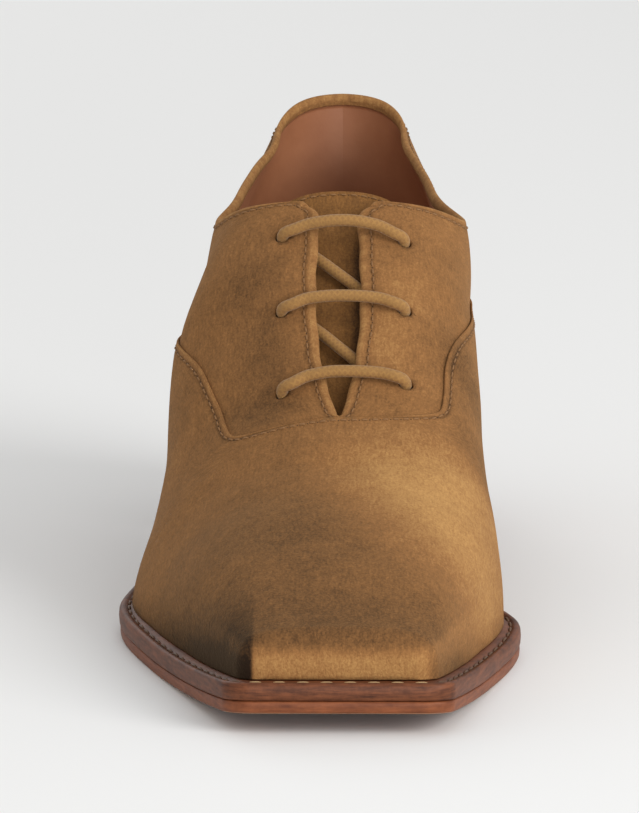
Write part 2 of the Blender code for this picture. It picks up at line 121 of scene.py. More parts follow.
# The model's cross-sections: at and height as shares of LENGTH, the others but the two powers as
# shares of BALL_WIDTH.
Section = namedtuple(
    "Section", "at outer inner lip height middle outer_power inner_power outer_swell inner_swell"
)
SECTIONS = [
    Section(0.00, 0.182, 0.338, 0.048, 0.083, 0.069, 4.00, 4.00, 0.000, 0.000),
    Section(0.06, 0.240, 0.375, 0.048, 0.096, 0.067, 3.50, 3.70, 0.000, 0.000),
    Section(0.12, 0.296, 0.410, 0.048, 0.116, 0.066, 3.00, 3.40, 0.000, 0.000),
    Section(0.19, 0.361, 0.450, 0.048, 0.137, 0.063, 2.60, 3.10, 0.000, 0.000),
    Section(0.26, 0.425, 0.488, 0.044, 0.156, 0.059, 2.08, 3.01, -0.005, -0.006),
    Section(0.32, 0.473, 0.492, 0.039, 0.177, 0.054, 1.78, 2.93, -0.012, 0.000),
    Section(0.38, 0.499, 0.439, 0.031, 0.209, 0.049, 1.72, 2.87, -0.021, 0.044),
    Section(0.44, 0.481, 0.377, 0.025, 0.253, 0.043, 1.84, 2.89, -0.021, 0.088),
    Section(0.50, 0.425, 0.332, 0.020, 0.303, 0.038, 2.40, 2.87, 0.011, 0.125),
    Section(0.56, 0.369, 0.295, 0.017, 0.351, 0.034, 2.65, 2.73, 0.075, 0.154),
    Section(0.62, 0.325, 0.272, 0.015, 0.403, 0.031, 2.50, 2.64, 0.065, 0.168),
    Section(0.66, 0.306, 0.267, 0.014, 0.437, 0.029, 2.44, 2.57, 0.069, 0.173),
    Section(0.715, 0.294, 0.275, 0.014, 0.459, 0.025, 2.26, 2.28, 0.042, 0.103),
    Section(0.78, 0.294, 0.295, 0.014, 0.448, 0.020, 2.10, 2.10, 0.028, 0.050),
    Section(0.88, 0.305, 0.317, 0.015, 0.412, 0.014, 2.00, 2.00, 0.020, 0.022),
    Section(1.00, 0.305, 0.327, 0.016, 0.402, 0.013, 2.00, 2.00, 0.018, 0.018),
]
Line = namedtuple("Line", "at height")
OUTER_SEAM = [
    Line(0.372, 0.1810), Line(0.380, 0.1780), Line(0.390, 0.1770), Line(0.402, 0.1795),
    Line(0.420, 0.1860), Line(0.442, 0.1970), Line(0.470, 0.2130), Line(0.490, 0.2235),
    Line(0.510, 0.2297), Line(0.535, 0.2340), Line(0.590, 0.2400), Line(0.700, 0.2560),
    Line(0.860, 0.2780), Line(1.000, 0.2970),
]
INNER_SEAM = [
    Line(0.372, 0.1880), Line(0.380, 0.1930), Line(0.396, 0.2000), Line(0.414, 0.2090),
    Line(0.433, 0.2200), Line(0.451, 0.2315), Line(0.470, 0.2425), Line(0.490, 0.2500),
    Line(0.520, 0.2540), Line(0.560, 0.2560), Line(0.620, 0.2580), Line(0.700, 0.2620),
    Line(0.860, 0.2790), Line(1.000, 0.2970),
]
SEAMS = {-1: OUTER_SEAM, 1: INNER_SEAM}
TOP_LINE = [
    Line(0.5787, 0.3675), Line(0.583, 0.3665), Line(0.588, 0.3645), Line(0.596, 0.361),
    Line(0.608, 0.355), Line(0.624, 0.347), Line(0.642, 0.339), Line(0.670, 0.336),
    Line(0.709, 0.341), Line(0.756, 0.349), Line(0.807, 0.357), Line(0.846, 0.363),
    Line(0.882, 0.369), Line(0.926, 0.379), Line(0.948, 0.387), Line(0.962, 0.3955),
    Line(0.974, 0.403), Line(0.984, 0.408),
]
SLIT = [Line(0.375, 0.0), Line(0.425, 0.0145), Line(0.579, 0.0181)]

# Edges of the upper: the corners of the seam and the facings, the waves of the slit's edge (in
# radians a metre), the suede turned in, its step down to the lining, and the vamp's thickness
SEAM_CORNER = 0.010
SEAM_CORNER_POWER = 2.4
FACING_CORNER = 0.003
SLIT_WAVE = 0.00016
SLIT_WAVES = 640
INNER_BAND = 0.0012
BAND_STEP = 0.00025
VAMP_SKIN = 0.00066

# Stitches and their threads: distances, lengths and radii, and the groove that a row pulls
STITCH_INSET = 0.0015
STITCH_PITCH = 0.0024
STITCH_LENGTH = 0.0017
STITCH_DIP = 0.00011
DIP_REACH = 0.0006
THREAD = 0.00022
NEEDLE_HOLE = 0.00020
WELT_STITCH_PITCH = 0.0050
WELT_STITCH_LENGTH = 0.0038
WELT_THREAD = 0.00036
WELT_GROOVE = 0.0023
WELT_GROOVE_DEPTH = 0.0005

# The height of one of the stacked heel's lifts
HEEL_LIFT = 0.0048

# Steps of tone, lighter above 0, all painted light: a painted highlight at the cut edges, stronger
# on the outer side, and on the rolled edges; painted shade in the stitches' groove and on the
# tongue beside the slit
PAINTED_EDGE_HIGHLIGHT = {-1: 0.45, 1: 0.10}
PAINTED_COLLAR_HIGHLIGHT = 0.30
PAINTED_SEAM_HIGHLIGHT = 0.10
PAINTED_GROOVE_SHADE = -0.55
PAINTED_TONGUE_SHADE = -0.7

# Waves across the tongue, and how much thinner it is than its solid, to make room for them
PUCKER = 0.00022
PUCKER_WAVES = 520
PUCKER_ROOM = 0.0004

# How far the suede's pattern reaches round the toe's edge, and how near points are merged
TOE_FLOW = 0.006
MERGE = 2e-6

# Soft troughs and ridges of the worn-in suede: the two ends in the working frame, the half width
# and the depth, which is negative for a ridge
Crease = namedtuple("Crease", "start end width depth")
CREASES = [
    Crease((-0.026, 0.088), (0.006, 0.080), 0.0050, 0.00042),
    Crease((0.004, 0.078), (0.030, 0.088), 0.0055, 0.00040),
    Crease((-0.030, 0.076), (-0.004, 0.070), 0.0060, 0.00028),
    Crease((0.006, 0.066), (0.034, 0.074), 0.0060, 0.00028),
    Crease((-0.010, 0.086), (0.018, 0.086), 0.0040, -0.00030),
    Crease((-0.024, 0.112), (-0.012, 0.104), 0.0030, 0.00035),
    Crease((-0.026, 0.126), (-0.014, 0.124), 0.0035, 0.00030),
    Crease((0.016, 0.108), (0.028, 0.116), 0.0032, 0.00035),
    Crease((0.018, 0.128), (0.030, 0.130), 0.0035, 0.00030),
    Crease((-0.034, 0.140), (-0.016, 0.134), 0.0040, -0.00025),
]

# Places where the suede is drawn lighter or darker: x, y, how far it reaches and the step of tone.
# On the vamp they are painted light: a painted highlight on the inner side, toward the key lamp,
# and painted shade over the middle and outer side. On the facings they are blotches in the nap.
Patch = namedtuple("Patch", "x y reach tone")
PATCHES = [
    Patch(0.021, 0.073, 0.016, 0.80),
    Patch(0.032, 0.056, 0.016, 0.55),
    Patch(-0.008, 0.062, 0.022, -0.30),
    Patch(0.006, 0.048, 0.018, -0.20),
    Patch(0.036, 0.084, 0.010, 0.35),
    Patch(-0.034, 0.060, 0.020, -0.15),
    Patch(-0.004, 0.036, 0.020, -0.20),
    Patch(-0.010, 0.104, 0.006, -0.45),
    Patch(-0.013, 0.118, 0.007, -0.50),
    Patch(-0.019, 0.107, 0.008, -0.30),
    Patch(-0.017, 0.133, 0.008, -0.45),
    Patch(-0.033, 0.122, 0.009, -0.10),
    Patch(0.033, 0.120, 0.008, -0.55),
    Patch(0.026, 0.138, 0.009, -0.10),
    Patch(0.015, 0.114, 0.007, 0.30),
    Patch(0.020, 0.128, 0.008, 0.25),
    Patch(0.037, 0.100, 0.008, -0.40),
]

# The photograph's camera: its frame, focus and the shoe's middle in pixels, where it stood, how
# far it was tilted down, and how much longer a lens fills the frame with one shoe
SENSOR = 36.0
PHOTO_SIZE = (639, 813)
PHOTO_FOCUS = 2673.8
SHOE_PIXEL = (228, 583)
CAMERA_PLACE = (0.0558, -1.627, 0.379)
CAMERA_TILT = math.radians(7.736)
CLOSER = 2.65

# Disk lights: the place, the width and the power
Lamp = namedtuple("Lamp", "name place size power")
LAMPS = [
    Lamp("key", (1.25, -0.95, 0.80), 1.1, 19.0),
    Lamp("overhead", (0.0, 0.3, 1.6), 1.4, 1.5),
    Lamp("front fill", (0.30, -1.7, 0.16), 0.4, 9.0),
    Lamp("back fill", (-0.6, 1.4, 0.9), 1.0, 3.0),
]
LAMP_AIM = (0, 0, 0.04)


def spline_bends(xs, ys):
    """The curvatures of a natural cubic spline at its points (xs, ys)."""
    steps, count = np.diff(xs), len(xs)
    system, right = np.eye(count), np.zeros(count)
    for i in range(1, count - 1):
        system[i, i - 1:i + 2] = steps[i - 1], 2 * (steps[i - 1] + steps[i]), steps[i]
        right[i] = 6 * ((ys[i + 1] - ys[i]) / steps[i] - (ys[i] - ys[i - 1]) / steps[i - 1])
    return np.linalg.solve(system, right)


def spline(xs, ys, bends, at):
    """The natural cubic spline through (xs, ys) at each value of `at`, held beyond its ends."""
    at = np.clip(np.asarray(at, float), xs[0], xs[-1])
    i = np.clip(np.searchsorted(xs, at) - 1, 0, len(xs) - 2)
    step = xs[i + 1] - xs[i]
    a, b = (xs[i + 1] - at) / step, (at - xs[i]) / step
    curve = ((a**3 - a) * bends[i] + (b**3 - b) * bends[i + 1]) * step**2 / 6
    return a * ys[i] + b * ys[i + 1] + curve


STATIONS = np.array([s.at for s in SECTIONS])
COLUMNS = {name: np.array([getattr(s, name) for s in SECTIONS]) for name in Section._fields}
BENDS = {name: spline_bends(STATIONS, values) for name, values in COLUMNS.items()}


def section(column, y, size=BALL_WIDTH):
    """One column of SECTIONS at the distance y from the toe's tip, as a length or a bare power."""
    return size * spline(STATIONS, COLUMNS[column], BENDS[column], np.asarray(y) / LENGTH)


def line(table, y):
    """The height of a seam or of TOP_LINE, or the reach of SLIT, at the distance y."""
    xs, ys = np.array([p.at for p in table]), np.array([p.height for p in table])
    return LENGTH * spline(xs, ys, spline_bends(xs, ys), np.asarray(y) / LENGTH)


def ease(share):
    """A smooth step from 0 to 1: the quintic with level ends."""
    share = np.clip(share, 0, 1)
    return share**3 * (share * (6 * share - 15) + 10)


def bell(away, reach):
    """A bell curve: 1 at 0, falling to a third at `reach`."""
    return np.exp(-(away / reach) ** 2)


def underside(y):
    """Height of the sole's underside: toe spring, flat tread, shank and sloping seat."""
    y = np.asarray(y, float)
    toe = TOE_SPRING * np.clip((TREAD_START - y) / TREAD_START, 0, 1) ** 1.8
    seat = HEEL_HEIGHT - (LENGTH - y) * math.tan(SEAT_SLOPE)
    return toe + seat * ease((y - TREAD_END) / (HEEL_BREAST - TREAD_END))


def feather(y):
    """Height of the upper's lower edge, a hair above the welt."""
    return underside(y) + OUTSOLE + WELT + 2 * GAP


TOE, SIDE, HEEL = 0, 1, 2
Rows = namedtuple("Rows", "kind value")


def rows_of(toe=(), side=(), heel=()):
    """Rows in order: turns about the toe's top edge, distances y, turns about the heel's centre."""
    kind = np.repeat([TOE, SIDE, HEEL], [len(toe), len(side), len(heel)])
    return Rows(kind, np.concatenate([toe, side, heel]).astype(float))


def arch(side, rows, offset, turns):
    """Points (row, turn, xyz) of the upper's form, moved outward by `offset`.

    Each row is a quarter of a superellipse from the ridge down to a girth wider than the foot by
    the swell, tucked in to the foot point below. At the toe it turns about the top edge, and at
    the heel about the heel's centre.
    """
    kind, value = rows.kind[:, None], rows.value[:, None]
    toe, heel = kind == TOE, kind == HEEL
    turn = np.where(kind == SIDE, 0, value)
    edge = np.maximum(TOE_EDGE + offset, LEAST_EDGE)
    at_toe = section("lip", 0) - offset + edge * (1 - np.cos(turn))
    back = HEEL_ROUND - section("lip", LENGTH) + offset
    at_heel = HEEL_CENTRE + back * np.sin(turn) ** (2 / HEEL_POWER)
    y = np.where(toe, at_toe, np.where(heel, at_heel, value))
    centre = np.where(heel, HEEL_CENTRE, y)
    cut = np.where(toe, edge * (1 - np.sin(turn)), 0)
    narrow = np.where(heel, np.abs(np.cos(turn)) ** (2 / HEEL_POWER), 1)
    outer, inner = section("outer", y), section("inner", y)
    half = ((outer + inner) / 2 - section("lip", y) + offset - cut) * narrow
    foot_x = (inner - outer) / 2 + side * half
    top_x = section("middle", centre)
    step = 0.001
    climb = section("height", centre + step, LENGTH) - section("height", centre - step, LENGTH)
    rise = offset + BACK_RISE * (1 - np.cos(turn)) ** BACK_POWER
    lift = np.where(heel, rise, offset * np.hypot(1, climb / (2 * step)))
    ridge = section("height", centre, LENGTH) - cut + lift
    name = "outer" if side < 0 else "inner"
    power, swell = section(name + "_power", y, 1), section(name + "_swell", y)
    across, up = np.abs(np.cos(turns)), np.abs(np.sin(turns))
    reach = (across**power + up**power) ** (-1 / power)
    across, up = reach * across, reach * up
    run_x, run_y = foot_x - top_x, y - centre
    tuck = across - np.clip(1 - up, 0, 1) ** TUCK_POWER
    share = across + swell * tuck / np.hypot(run_x, run_y)
    low = feather(y)
    return np.stack([top_x + run_x * share, centre + run_y * share, low + (ridge - low) * up], -1)


def turn_where(side, rows, offset, reached, low):
    """Each place's first turn after `low` whose point satisfies `reached`, found by halving."""
    low, high = np.array(low, float), np.full_like(low, math.pi / 2)
    for _ in range(30):
        middle = (low + high) / 2
        done = reached(arch(side, rows, offset, middle))
        low, high = np.where(done, low, middle), np.where(done, middle, high)
    return high


def turn_at_height(side, rows, offset, height):
    """Turns at which the rows reach `height`."""
    low = np.zeros((len(rows.kind), 1))
    return turn_where(side, rows, offset, lambda p: p[..., 2] >= height, low)


def turn_at_reach(side, rows, offset, reach):
    """Turns in the upper half of the rows that come within `reach` of the ridge's line."""
    middle = section("middle", rows.value)[:, None]
    low = np.full(np.shape(reach), math.radians(35))
    return turn_where(side, rows, offset, lambda p: np.abs(p[..., 0] - middle) <= reach, low)


def row_y(rows):
    """The distance y that stands for each row, as a column."""
    y = np.where(rows.kind == HEEL, HEEL_CENTRE + HEEL_ROUND * np.sin(rows.value), rows.value)
    return np.where(rows.kind == TOE, 0, y)[:, None]


def seam_turn(side, rows):
    """Where the vamp ends: at the ridge up to VAMP_END, then round a corner and along the seam.

    The corner is a quarter of a superellipse in the turn, SEAM_CORNER long.
    """
    y = row_y(rows)
    along = turn_at_height(side, rows, 0.0, line(SEAMS[side], np.maximum(y, VAMP_END)))
    share = np.clip((y - VAMP_END) / SEAM_CORNER, 0, 1)
    opened = (1 - (1 - share) ** SEAM_CORNER_POWER) ** (1 / SEAM_CORNER_POWER)
    end = math.pi / 2 - (math.pi / 2 - along) * opened
    return np.where(rows.kind[:, None] == TOE, math.pi / 2, end)


def top_turn(side, rows):
    """Where the quarters end: at the ridge, then at the slit's edge, then at the top line.

    The slit's edge waves a little, and a quarter circle of FACING_CORNER rounds it at the top.
    """
    y = row_y(rows)
    wave = SLIT_WAVE * np.sin(y * SLIT_WAVES + side) * ease((y - SLIT_START) / 0.01)
    reach = np.maximum(line(SLIT, np.clip(y, SLIT_START, FACING_TOP)) + wave, 0)
    share = np.clip((y - FACING_TOP + FACING_CORNER) / FACING_CORNER, 0, 1)
    reach = reach + FACING_CORNER * (1 - np.sqrt(1 - share**2))
    beside = turn_at_reach(side, rows, -VAMP_STEP, reach)
    halfway = np.full_like(y, 0.6)
    back = arch(side, rows, -VAMP_STEP, halfway)[..., 1]
    below = turn_at_height(side, rows, -VAMP_STEP, line(TOP_LINE, back))
    end = np.where(y <= FACING_TOP, beside, np.minimum(beside, below))
    end = np.where(rows.kind[:, None] == HEEL, below, end)
    return np.where((y <= SLIT_START) | (rows.kind[:, None] == TOE), math.pi / 2, end)


def relief(points):
    """How far the suede lies outward of the last.

    Each crease is a bell across a line in plan, and two crossed waves make the skin uneven.
    """
    place, moved = points[..., :2], np.zeros(points.shape[:-1])
    for crease in CREASES:
        start, end = np.array(crease.start), np.array(crease.end)
        span = end - start
        share = np.clip(((place - start) @ span) / (span @ span), 0, 1)
        away = np.linalg.norm(place - start - share[..., None] * span, axis=-1)
        moved -= crease.depth * bell(away, crease.width)
    x, y, z = np.moveaxis(points, -1, 0)
    moved += 0.00010 * np.sin(210 * y + 90 * x) * np.sin(170 * z + 60 * y + 1)
    return moved * ease((y - 0.012) / 0.02)


def formed(side, rows, offset, turns):
    """The upper's form with the creases in it."""
    return arch(side, rows, offset + relief(arch(side, rows, offset, turns)), turns)


def tone(points):
    """How light or dark the suede is drawn, 0 where it is plain: a sum of bells and smooth steps.

    The suede is burnished darker round the toe. At the toe's outer corner it is darker, partly
    burnished and partly painted shade where that face turns from the lamps; it is darker at the
    inner corner and low along the welt, and has a painted highlight on the toe's flat front, which
    faces the lamps. The patches are bells in plan.
    """
    x, y, z = np.moveaxis(points, -1, 0)
    above, above_toe = z - feather(y), z - feather(0)
    toe = bell(y - 0.012, 0.018) * ease((above_toe - 0.0050) / 0.0030)
    # The outer corner is darker: burnished, and painted shade where that face turns from the lamps
    outer_corner_burnish_and_shade = ease((-0.0112 - x) / 0.0014)
    outer_corner_burnish_and_shade *= bell(above, 0.0105) * bell(np.maximum(y - 0.016, 0), 0.038)
    inner_corner = ease((x - 0.0262) / 0.0016)
    inner_corner *= bell(above, 0.005) * bell(np.maximum(y - 0.012, 0), 0.020)
    low = bell(above, 0.0040) * ease(y / 0.03)
    # Painted highlight on the toe's flat front, which faces the lamps
    front = ease((0.0070 - y) / 0.003) * ease((0.0072 - above_toe) / 0.0040)
    front *= ease((x + 0.0125) / 0.001)
    result = 0.55 * front - 0.55 * toe - 1.90 * outer_corner_burnish_and_shade - 0.35 * inner_corner - 0.42 * low
    # The patches: painted highlight and shade on the vamp, blotches in the nap on the facings
    for patch in PATCHES:
        result += patch.tone * bell(np.hypot(x - patch.x, y - patch.y), patch.reach)
    return result


def linked(name, data):
    """A new object at the origin, in the scene."""
    obj = bpy.data.objects.new(name, data)
    bpy.context.scene.collection.objects.link(obj)
    return obj


class Net:
    """Grids of points that become one mesh: quads, a material for each, and point attributes."""

    def __init__(self):
        self.points, self.quads, self.marks = [], [], []
        self.flow, self.shade, self.count = [], [], 0

    def add(self, grid, flow=None, wrap=False, mark=0, shade=0.0):
        """Adds a grid (row, column, xyz). `wrap` joins its last column to its first.

        `flow` is where a pattern runs, `mark` the material's place and `shade` a step of tone.
        """
        grid = np.asarray(grid, float)
        rows, columns = grid.shape[:2]
        index = self.count + np.arange(rows * columns).reshape(rows, columns)
        if wrap:
            index = np.concatenate([index, index[:, :1]], axis=1)
        quads = np.stack([index[:-1, :-1], index[1:, :-1], index[1:, 1:], index[:-1, 1:]], -1)
        self.quads.append(quads.reshape(-1, 4))
        self.marks.append(np.broadcast_to(mark, quads.shape[:2]).ravel())
        self.points.append(grid.reshape(-1, 3))
        flow = np.zeros((rows, columns, 2)) if flow is None else flow
        self.flow.append(np.broadcast_to(flow, (rows, columns, 2)).reshape(-1, 2))
        self.shade.append(np.broadcast_to(shade, (rows, columns)).ravel())
        self.count += rows * columns

    def build(self, name, materials, toned=False):
        """Makes the object: doubled points are merged and every face is turned outward."""
        points = np.concatenate(self.points)
        mesh = bpy.data.meshes.new(name)
        mesh.from_pydata((points - MIDDLE).tolist(), [], np.concatenate(self.quads).tolist())
        mesh.polygons.foreach_set("material_index", np.concatenate(self.marks).astype(np.int32))
        flow = np.column_stack([np.concatenate(self.flow), np.zeros(len(points))])
        made = mesh.attributes.new("flow", "FLOAT_VECTOR", "POINT")
        made.data.foreach_set("vector", flow.ravel())
        shade = np.concatenate(self.shade) + (tone(points) if toned else 0)
        mesh.attributes.new("tone", "FLOAT", "POINT").data.foreach_set("value", shade)
        bm = bmesh.new()
        bm.from_mesh(mesh)
        bmesh.ops.remove_doubles(bm, verts=bm.verts, dist=MERGE)
        bmesh.ops.dissolve_degenerate(bm, edges=bm.edges, dist=MERGE)
        bmesh.ops.recalc_face_normals(bm, faces=bm.faces)
        bm.to_mesh(mesh)
        bm.free()
        mesh.shade_smooth()
        for material in materials:
            mesh.materials.append(material)
        return linked(name, mesh)


def girths(points):
    """Distances along each row from its first point, for patterns that follow the surface."""
    steps = np.linalg.norm(np.diff(points, axis=1), axis=-1)
    return np.concatenate([np.zeros((len(points), 1)), np.cumsum(steps, axis=1)], axis=1)


def distances(path):
    """Distances along a path from its first point."""
    return np.concatenate([[0], np.cumsum(np.linalg.norm(np.diff(path, axis=0), axis=1))])


def flow_of(points, rows):
    """Pattern coordinates: the girth down from each row's top, and the way along the shoe."""
    girth = girths(points[:, ::-1])[:, ::-1]
    along = np.where(rows.kind == TOE, -TOE_FLOW + 0.004 * rows.value, rows.value)
    along = np.where(rows.kind == HEEL, HEEL_CENTRE + HEEL_ROUND * rows.value, along)
    return np.stack([girth, np.broadcast_to(along[:, None], girth.shape)], -1)


def unit(vectors):
    """The vectors at length 1."""
    return vectors / np.maximum(np.linalg.norm(vectors, axis=-1, keepdims=True), 1e-12)


def tangents_of(path, closed=False):
    """Unit tangents along a path, from each point's two neighbours."""
    if closed:
        ahead, behind = np.roll(path, -1, axis=0), np.roll(path, 1, axis=0)
    else:
        ahead = np.concatenate([path[1:], path[-1:]])
        behind = np.concatenate([path[:1], path[:-1]])
    span = ahead - behind
    return span / np.linalg.norm(span, axis=-1, keepdims=True)


def normals_of(side, rows, offset, turns):
    """Outward normals of the form, from small steps of the turn and of the offset."""
    out_step, turn_step = 0.0004, 0.004
    here = arch(side, rows, offset, turns)
    out = arch(side, rows, offset + out_step, turns) - here
    above, below = (arch(side, rows, offset, turns + step) for step in (turn_step, -turn_step))
    up = unit(above - below)
    return unit(out - up * np.sum(out * up, -1, keepdims=True))


def outward_of(path, normals, closed=False):
    """Unit vectors in the surface, square to the edge and away from the piece."""
    return unit(np.cross(tangents_of(path, closed), normals))


def bead(net, outer, inner, outward, count, flow, closed=False, shade=0.0):
    """A rounded edge between two skins: half turns about the middle of each pair of edge points."""
    centre, radius = (outer + inner) / 2, np.linalg.norm(outer - inner, axis=-1)[:, None] / 2
    turns, up = np.linspace(0, math.pi, count), unit(outer - inner)
    grid = np.stack([
        centre + radius * (up * math.cos(t) + outward * math.sin(t)) for t in turns], axis=1)
    grid[:, 0], grid[:, -1] = outer, inner
    if closed:
        grid, flow = np.concatenate([grid, grid[:1]]), np.concatenate([flow, flow[:1]])
    net.add(grid, np.repeat(flow[:, None], count, axis=1), shade=shade)


def wall(net, rows, turns, outer_offset, inner_offset, open_from, inner_mark):
    """The two skins of a piece of the upper on both sides, its lower edges and its toe.

    `turns` holds each side's turns. The skins meet at the ridge before the row `open_from`. Past
    it, the outer skin is pulled in under the stitches by a bell across the girth, where shade is
    painted into the groove, and it has a painted highlight at its very edge.
    Gives each side's upper edge: its outer and inner points, normals and pattern coordinates.
    """
    edges, front = {}, {}
    kind = rows.kind[:, None]
    opened = (((row_y(rows) > rows.value[open_from]) | (kind == HEEL)) & (kind != TOE)) * 1.0
    for side in (-1, 1):
        outside = formed(side, rows, outer_offset, turns[side])
        inside = formed(side, rows, inner_offset, turns[side])
        flow = flow_of(outside, rows) * np.array([side, 1])
        girth = np.abs(flow[..., 0])
        pulled = opened * bell(girth - STITCH_INSET, DIP_REACH)
        outside = formed(side, rows, outer_offset - STITCH_DIP * pulled, turns[side])
        # Painted highlight at the very edge, stronger on the outer side, and painted shade in the
        # stitches' groove
        painted_edge_light_and_shade = opened * PAINTED_EDGE_HIGHLIGHT[side] * bell(girth, DIP_REACH) + PAINTED_GROOVE_SHADE * pulled
        net.add(outside, flow, shade=painted_edge_light_and_shade)
        net.add(inside, flow, mark=inner_mark)
        net.add(np.stack([outside[:, 0], inside[:, 0]], 1), np.stack([flow[:, 0]] * 2, 1))
        front[side] = (outside[0], inside[0], flow[0])
        edges[side] = (
            outside[open_from:, -1], inside[open_from:, -1],
            normals_of(side, rows, outer_offset, turns[side][:, -1:])[open_from:, 0],
            flow[open_from:, -1])
    close_toe(net, front)
    return edges


def close_toe(net, front):
    """The toe's flat front: it hangs from each skin's first row to a straight line at its foot."""
    steps = np.linspace(0, 1, 7)[:, None, None]
    feet = {}
    for layer in (0, 1):
        middle_foot = (front[-1][layer][0] + front[1][layer][0]) / 2
        for side in (-1, 1):
            top = front[side][layer]
            share = (top[:, :1] - top[0, 0]) / (top[-1, 0] - top[0, 0])
            middle = np.array([top[-1, 0], *middle_foot[1:]])
            foot = top[0] * (1 - share) + middle * share
            flow = np.repeat(front[side][2][None], len(steps), 0)
            flow[..., 1] -= (1 - steps[..., 0]) * TOE_FLOW
            net.add(foot + (top - foot) * steps, flow, mark=layer)
            feet[side, layer] = foot
    for side in (-1, 1):
        net.add(np.stack([feet[side, 0], feet[side, 1]], 1))


def build_quarters():
    """Quarters, facings and collar: suede outside, turned over the edge, and leather inside."""
    near = FACING_TOP - FACING_CORNER
    rows = rows_of(
        np.radians(np.linspace(0, 90, 8)),
        np.concatenate([
            np.linspace(0.0092, SLIT_START, 60),
            SLIT_START + np.array([0.0004, 0.0009, 0.0015]),
            np.linspace(SLIT_START + 0.0022, near, 50),
            near + FACING_CORNER * np.sin(np.radians(np.linspace(12, 90, 8))),
            FACING_TOP + np.array([0.0003, 0.0007, 0.0012, 0.0018]),
            np.linspace(FACING_TOP + 0.0025, HEEL_CENTRE - 0.0012, 64)]),
        np.radians(np.linspace(0, 90, 46)))
    y = row_y(rows)
    open_from = int(np.argmax((y[:, 0] >= SLIT_START) & (rows.kind == SIDE)))
    opened = ease((y - SLIT_START) / 0.0015) * (rows.kind[:, None] != TOE)
    low = np.linspace(0, 1, 44)[None]
    high = np.array([[0.05, 0.2, 0.4, 0.6, 0.8, 0.93, 1]])
    lined = np.arange(low.size + high.size)[None] < low.size
    small, turns = 0.02, {}
    for side in (-1, 1):
        end = top_turn(side, rows)
        ends = arch(side, rows, -VAMP_STEP, np.concatenate([end - small, end], 1))
        metres = np.linalg.norm(ends[:, 1] - ends[:, 0], axis=-1)[:, None] / small
        # The rolled edge stands half the wall past the skins, and the suede's band ends inside.
        end = end - opened * QUARTER_WALL / 2 / metres
        band = np.maximum(end - INNER_BAND / metres, 0.2)
        turns[side] = np.concatenate([band * low, band + (end - band) * high], 1)
    net = Net()
    edges = wall(net, rows, turns, -VAMP_STEP, INNER_FACE + BAND_STEP * lined, open_from,
                 lined[:, 1:].astype(int))
    # Both sides' edges start at the slit's tip, and they meet again at the back of the heel.
    outer, inside, normals, flow = (
        np.concatenate([edges[-1][i], edges[1][i][::-1][1:-1]]) for i in range(4))
    # The rolled edge round the slit and the collar carries a painted highlight
    bead(net, outer, inside, outward_of(outer, normals, True), 9, flow, True, PAINTED_COLLAR_HIGHLIGHT)
    return net.build("quarters", [suede, lining], toned=True), edges


def build_vamp():
    """The vamp and the low band that runs on round the heel, lapped over the quarters."""
    rows = rows_of(
        np.radians(np.linspace(0, 90, 14)),
        np.concatenate([
            np.linspace(0.0092, VAMP_END, 96),
            VAMP_END + SEAM_CORNER * (np.arange(1, 19) / 18) ** 3,
            np.linspace(VAMP_END + SEAM_CORNER + 0.001, HEEL_CENTRE - 0.0014, 90)]),
        np.radians(np.linspace(0, 90, 40)))
    y = row_y(rows)
    open_from = int(np.argmax((y[:, 0] >= VAMP_END - 1e-9) & (rows.kind == SIDE)))
    shares = np.concatenate([np.linspace(0, 0.94, 58), np.linspace(0.94, 1, 15)[1:]])[None]
    turns = {side: seam_turn(side, rows) * shares for side in (-1, 1)}
    net = Net()
    edges = wall(net, rows, turns, 0.0, -VAMP_SKIN, open_from, 0)
    outer, inside, normals, flow = (
        np.concatenate([edges[-1][i][::-1], edges[1][i][1:]]) for i in range(4))
    # The rolled edge of the seam carries a painted highlight
    bead(net, outer, inside, -outward_of(outer, normals), 7, flow, shade=PAINTED_SEAM_HIGHLIGHT)
    return net.build("vamp", [suede], toned=True), (outer, normals)


def outline(inset=0.0, inside_lip=False, corner=TOE_CORNER, breast=None):
    """The sole's outline as (outer points, inner points) of x and y, `inset` inside its edge.

    The toe's corners are quarter circles, the sides follow the sections, and the heel is a
    superellipse about the heel's centre. With `breast` it starts there, as a heel block does.
    """
    def inset_at(y):
        return inset + (section("lip", y) if inside_lip else 0)

    if breast is None:
        turn = np.radians(np.linspace(0, 90, 12))
        sides = np.linspace(0.013, 0.85 * LENGTH, 150)
        y = np.concatenate([inset_at(0) + corner * (1 - np.cos(turn)), sides])
        cut = np.concatenate([corner * (1 - np.sin(turn)), np.zeros(len(sides))])
    else:
        y = np.linspace(breast, HEEL_CENTRE, 24)[:-1]
        cut = np.zeros(len(y))
    turn = np.radians(np.concatenate([np.linspace(0, 78, 36), [80, 82, 84]]))
    back = HEEL_ROUND - inset_at(LENGTH)
    end = math.sin(turn[-1])
    y = np.concatenate([y, HEEL_CENTRE + back * (np.sin(turn) / end) ** (2 / HEEL_POWER)])
    cut = np.concatenate([cut, np.zeros(len(turn))])
    narrow = np.concatenate([np.ones(len(y) - len(turn)), np.cos(turn) ** (2 / HEEL_POWER)])
    outer, inner = section("outer", y), section("inner", y)
    half = ((outer + inner) / 2 - inset_at(y) - cut) * narrow
    middle = (inner - outer) / 2
    return np.stack([middle - half, y], -1), np.stack([middle + half, y], -1)


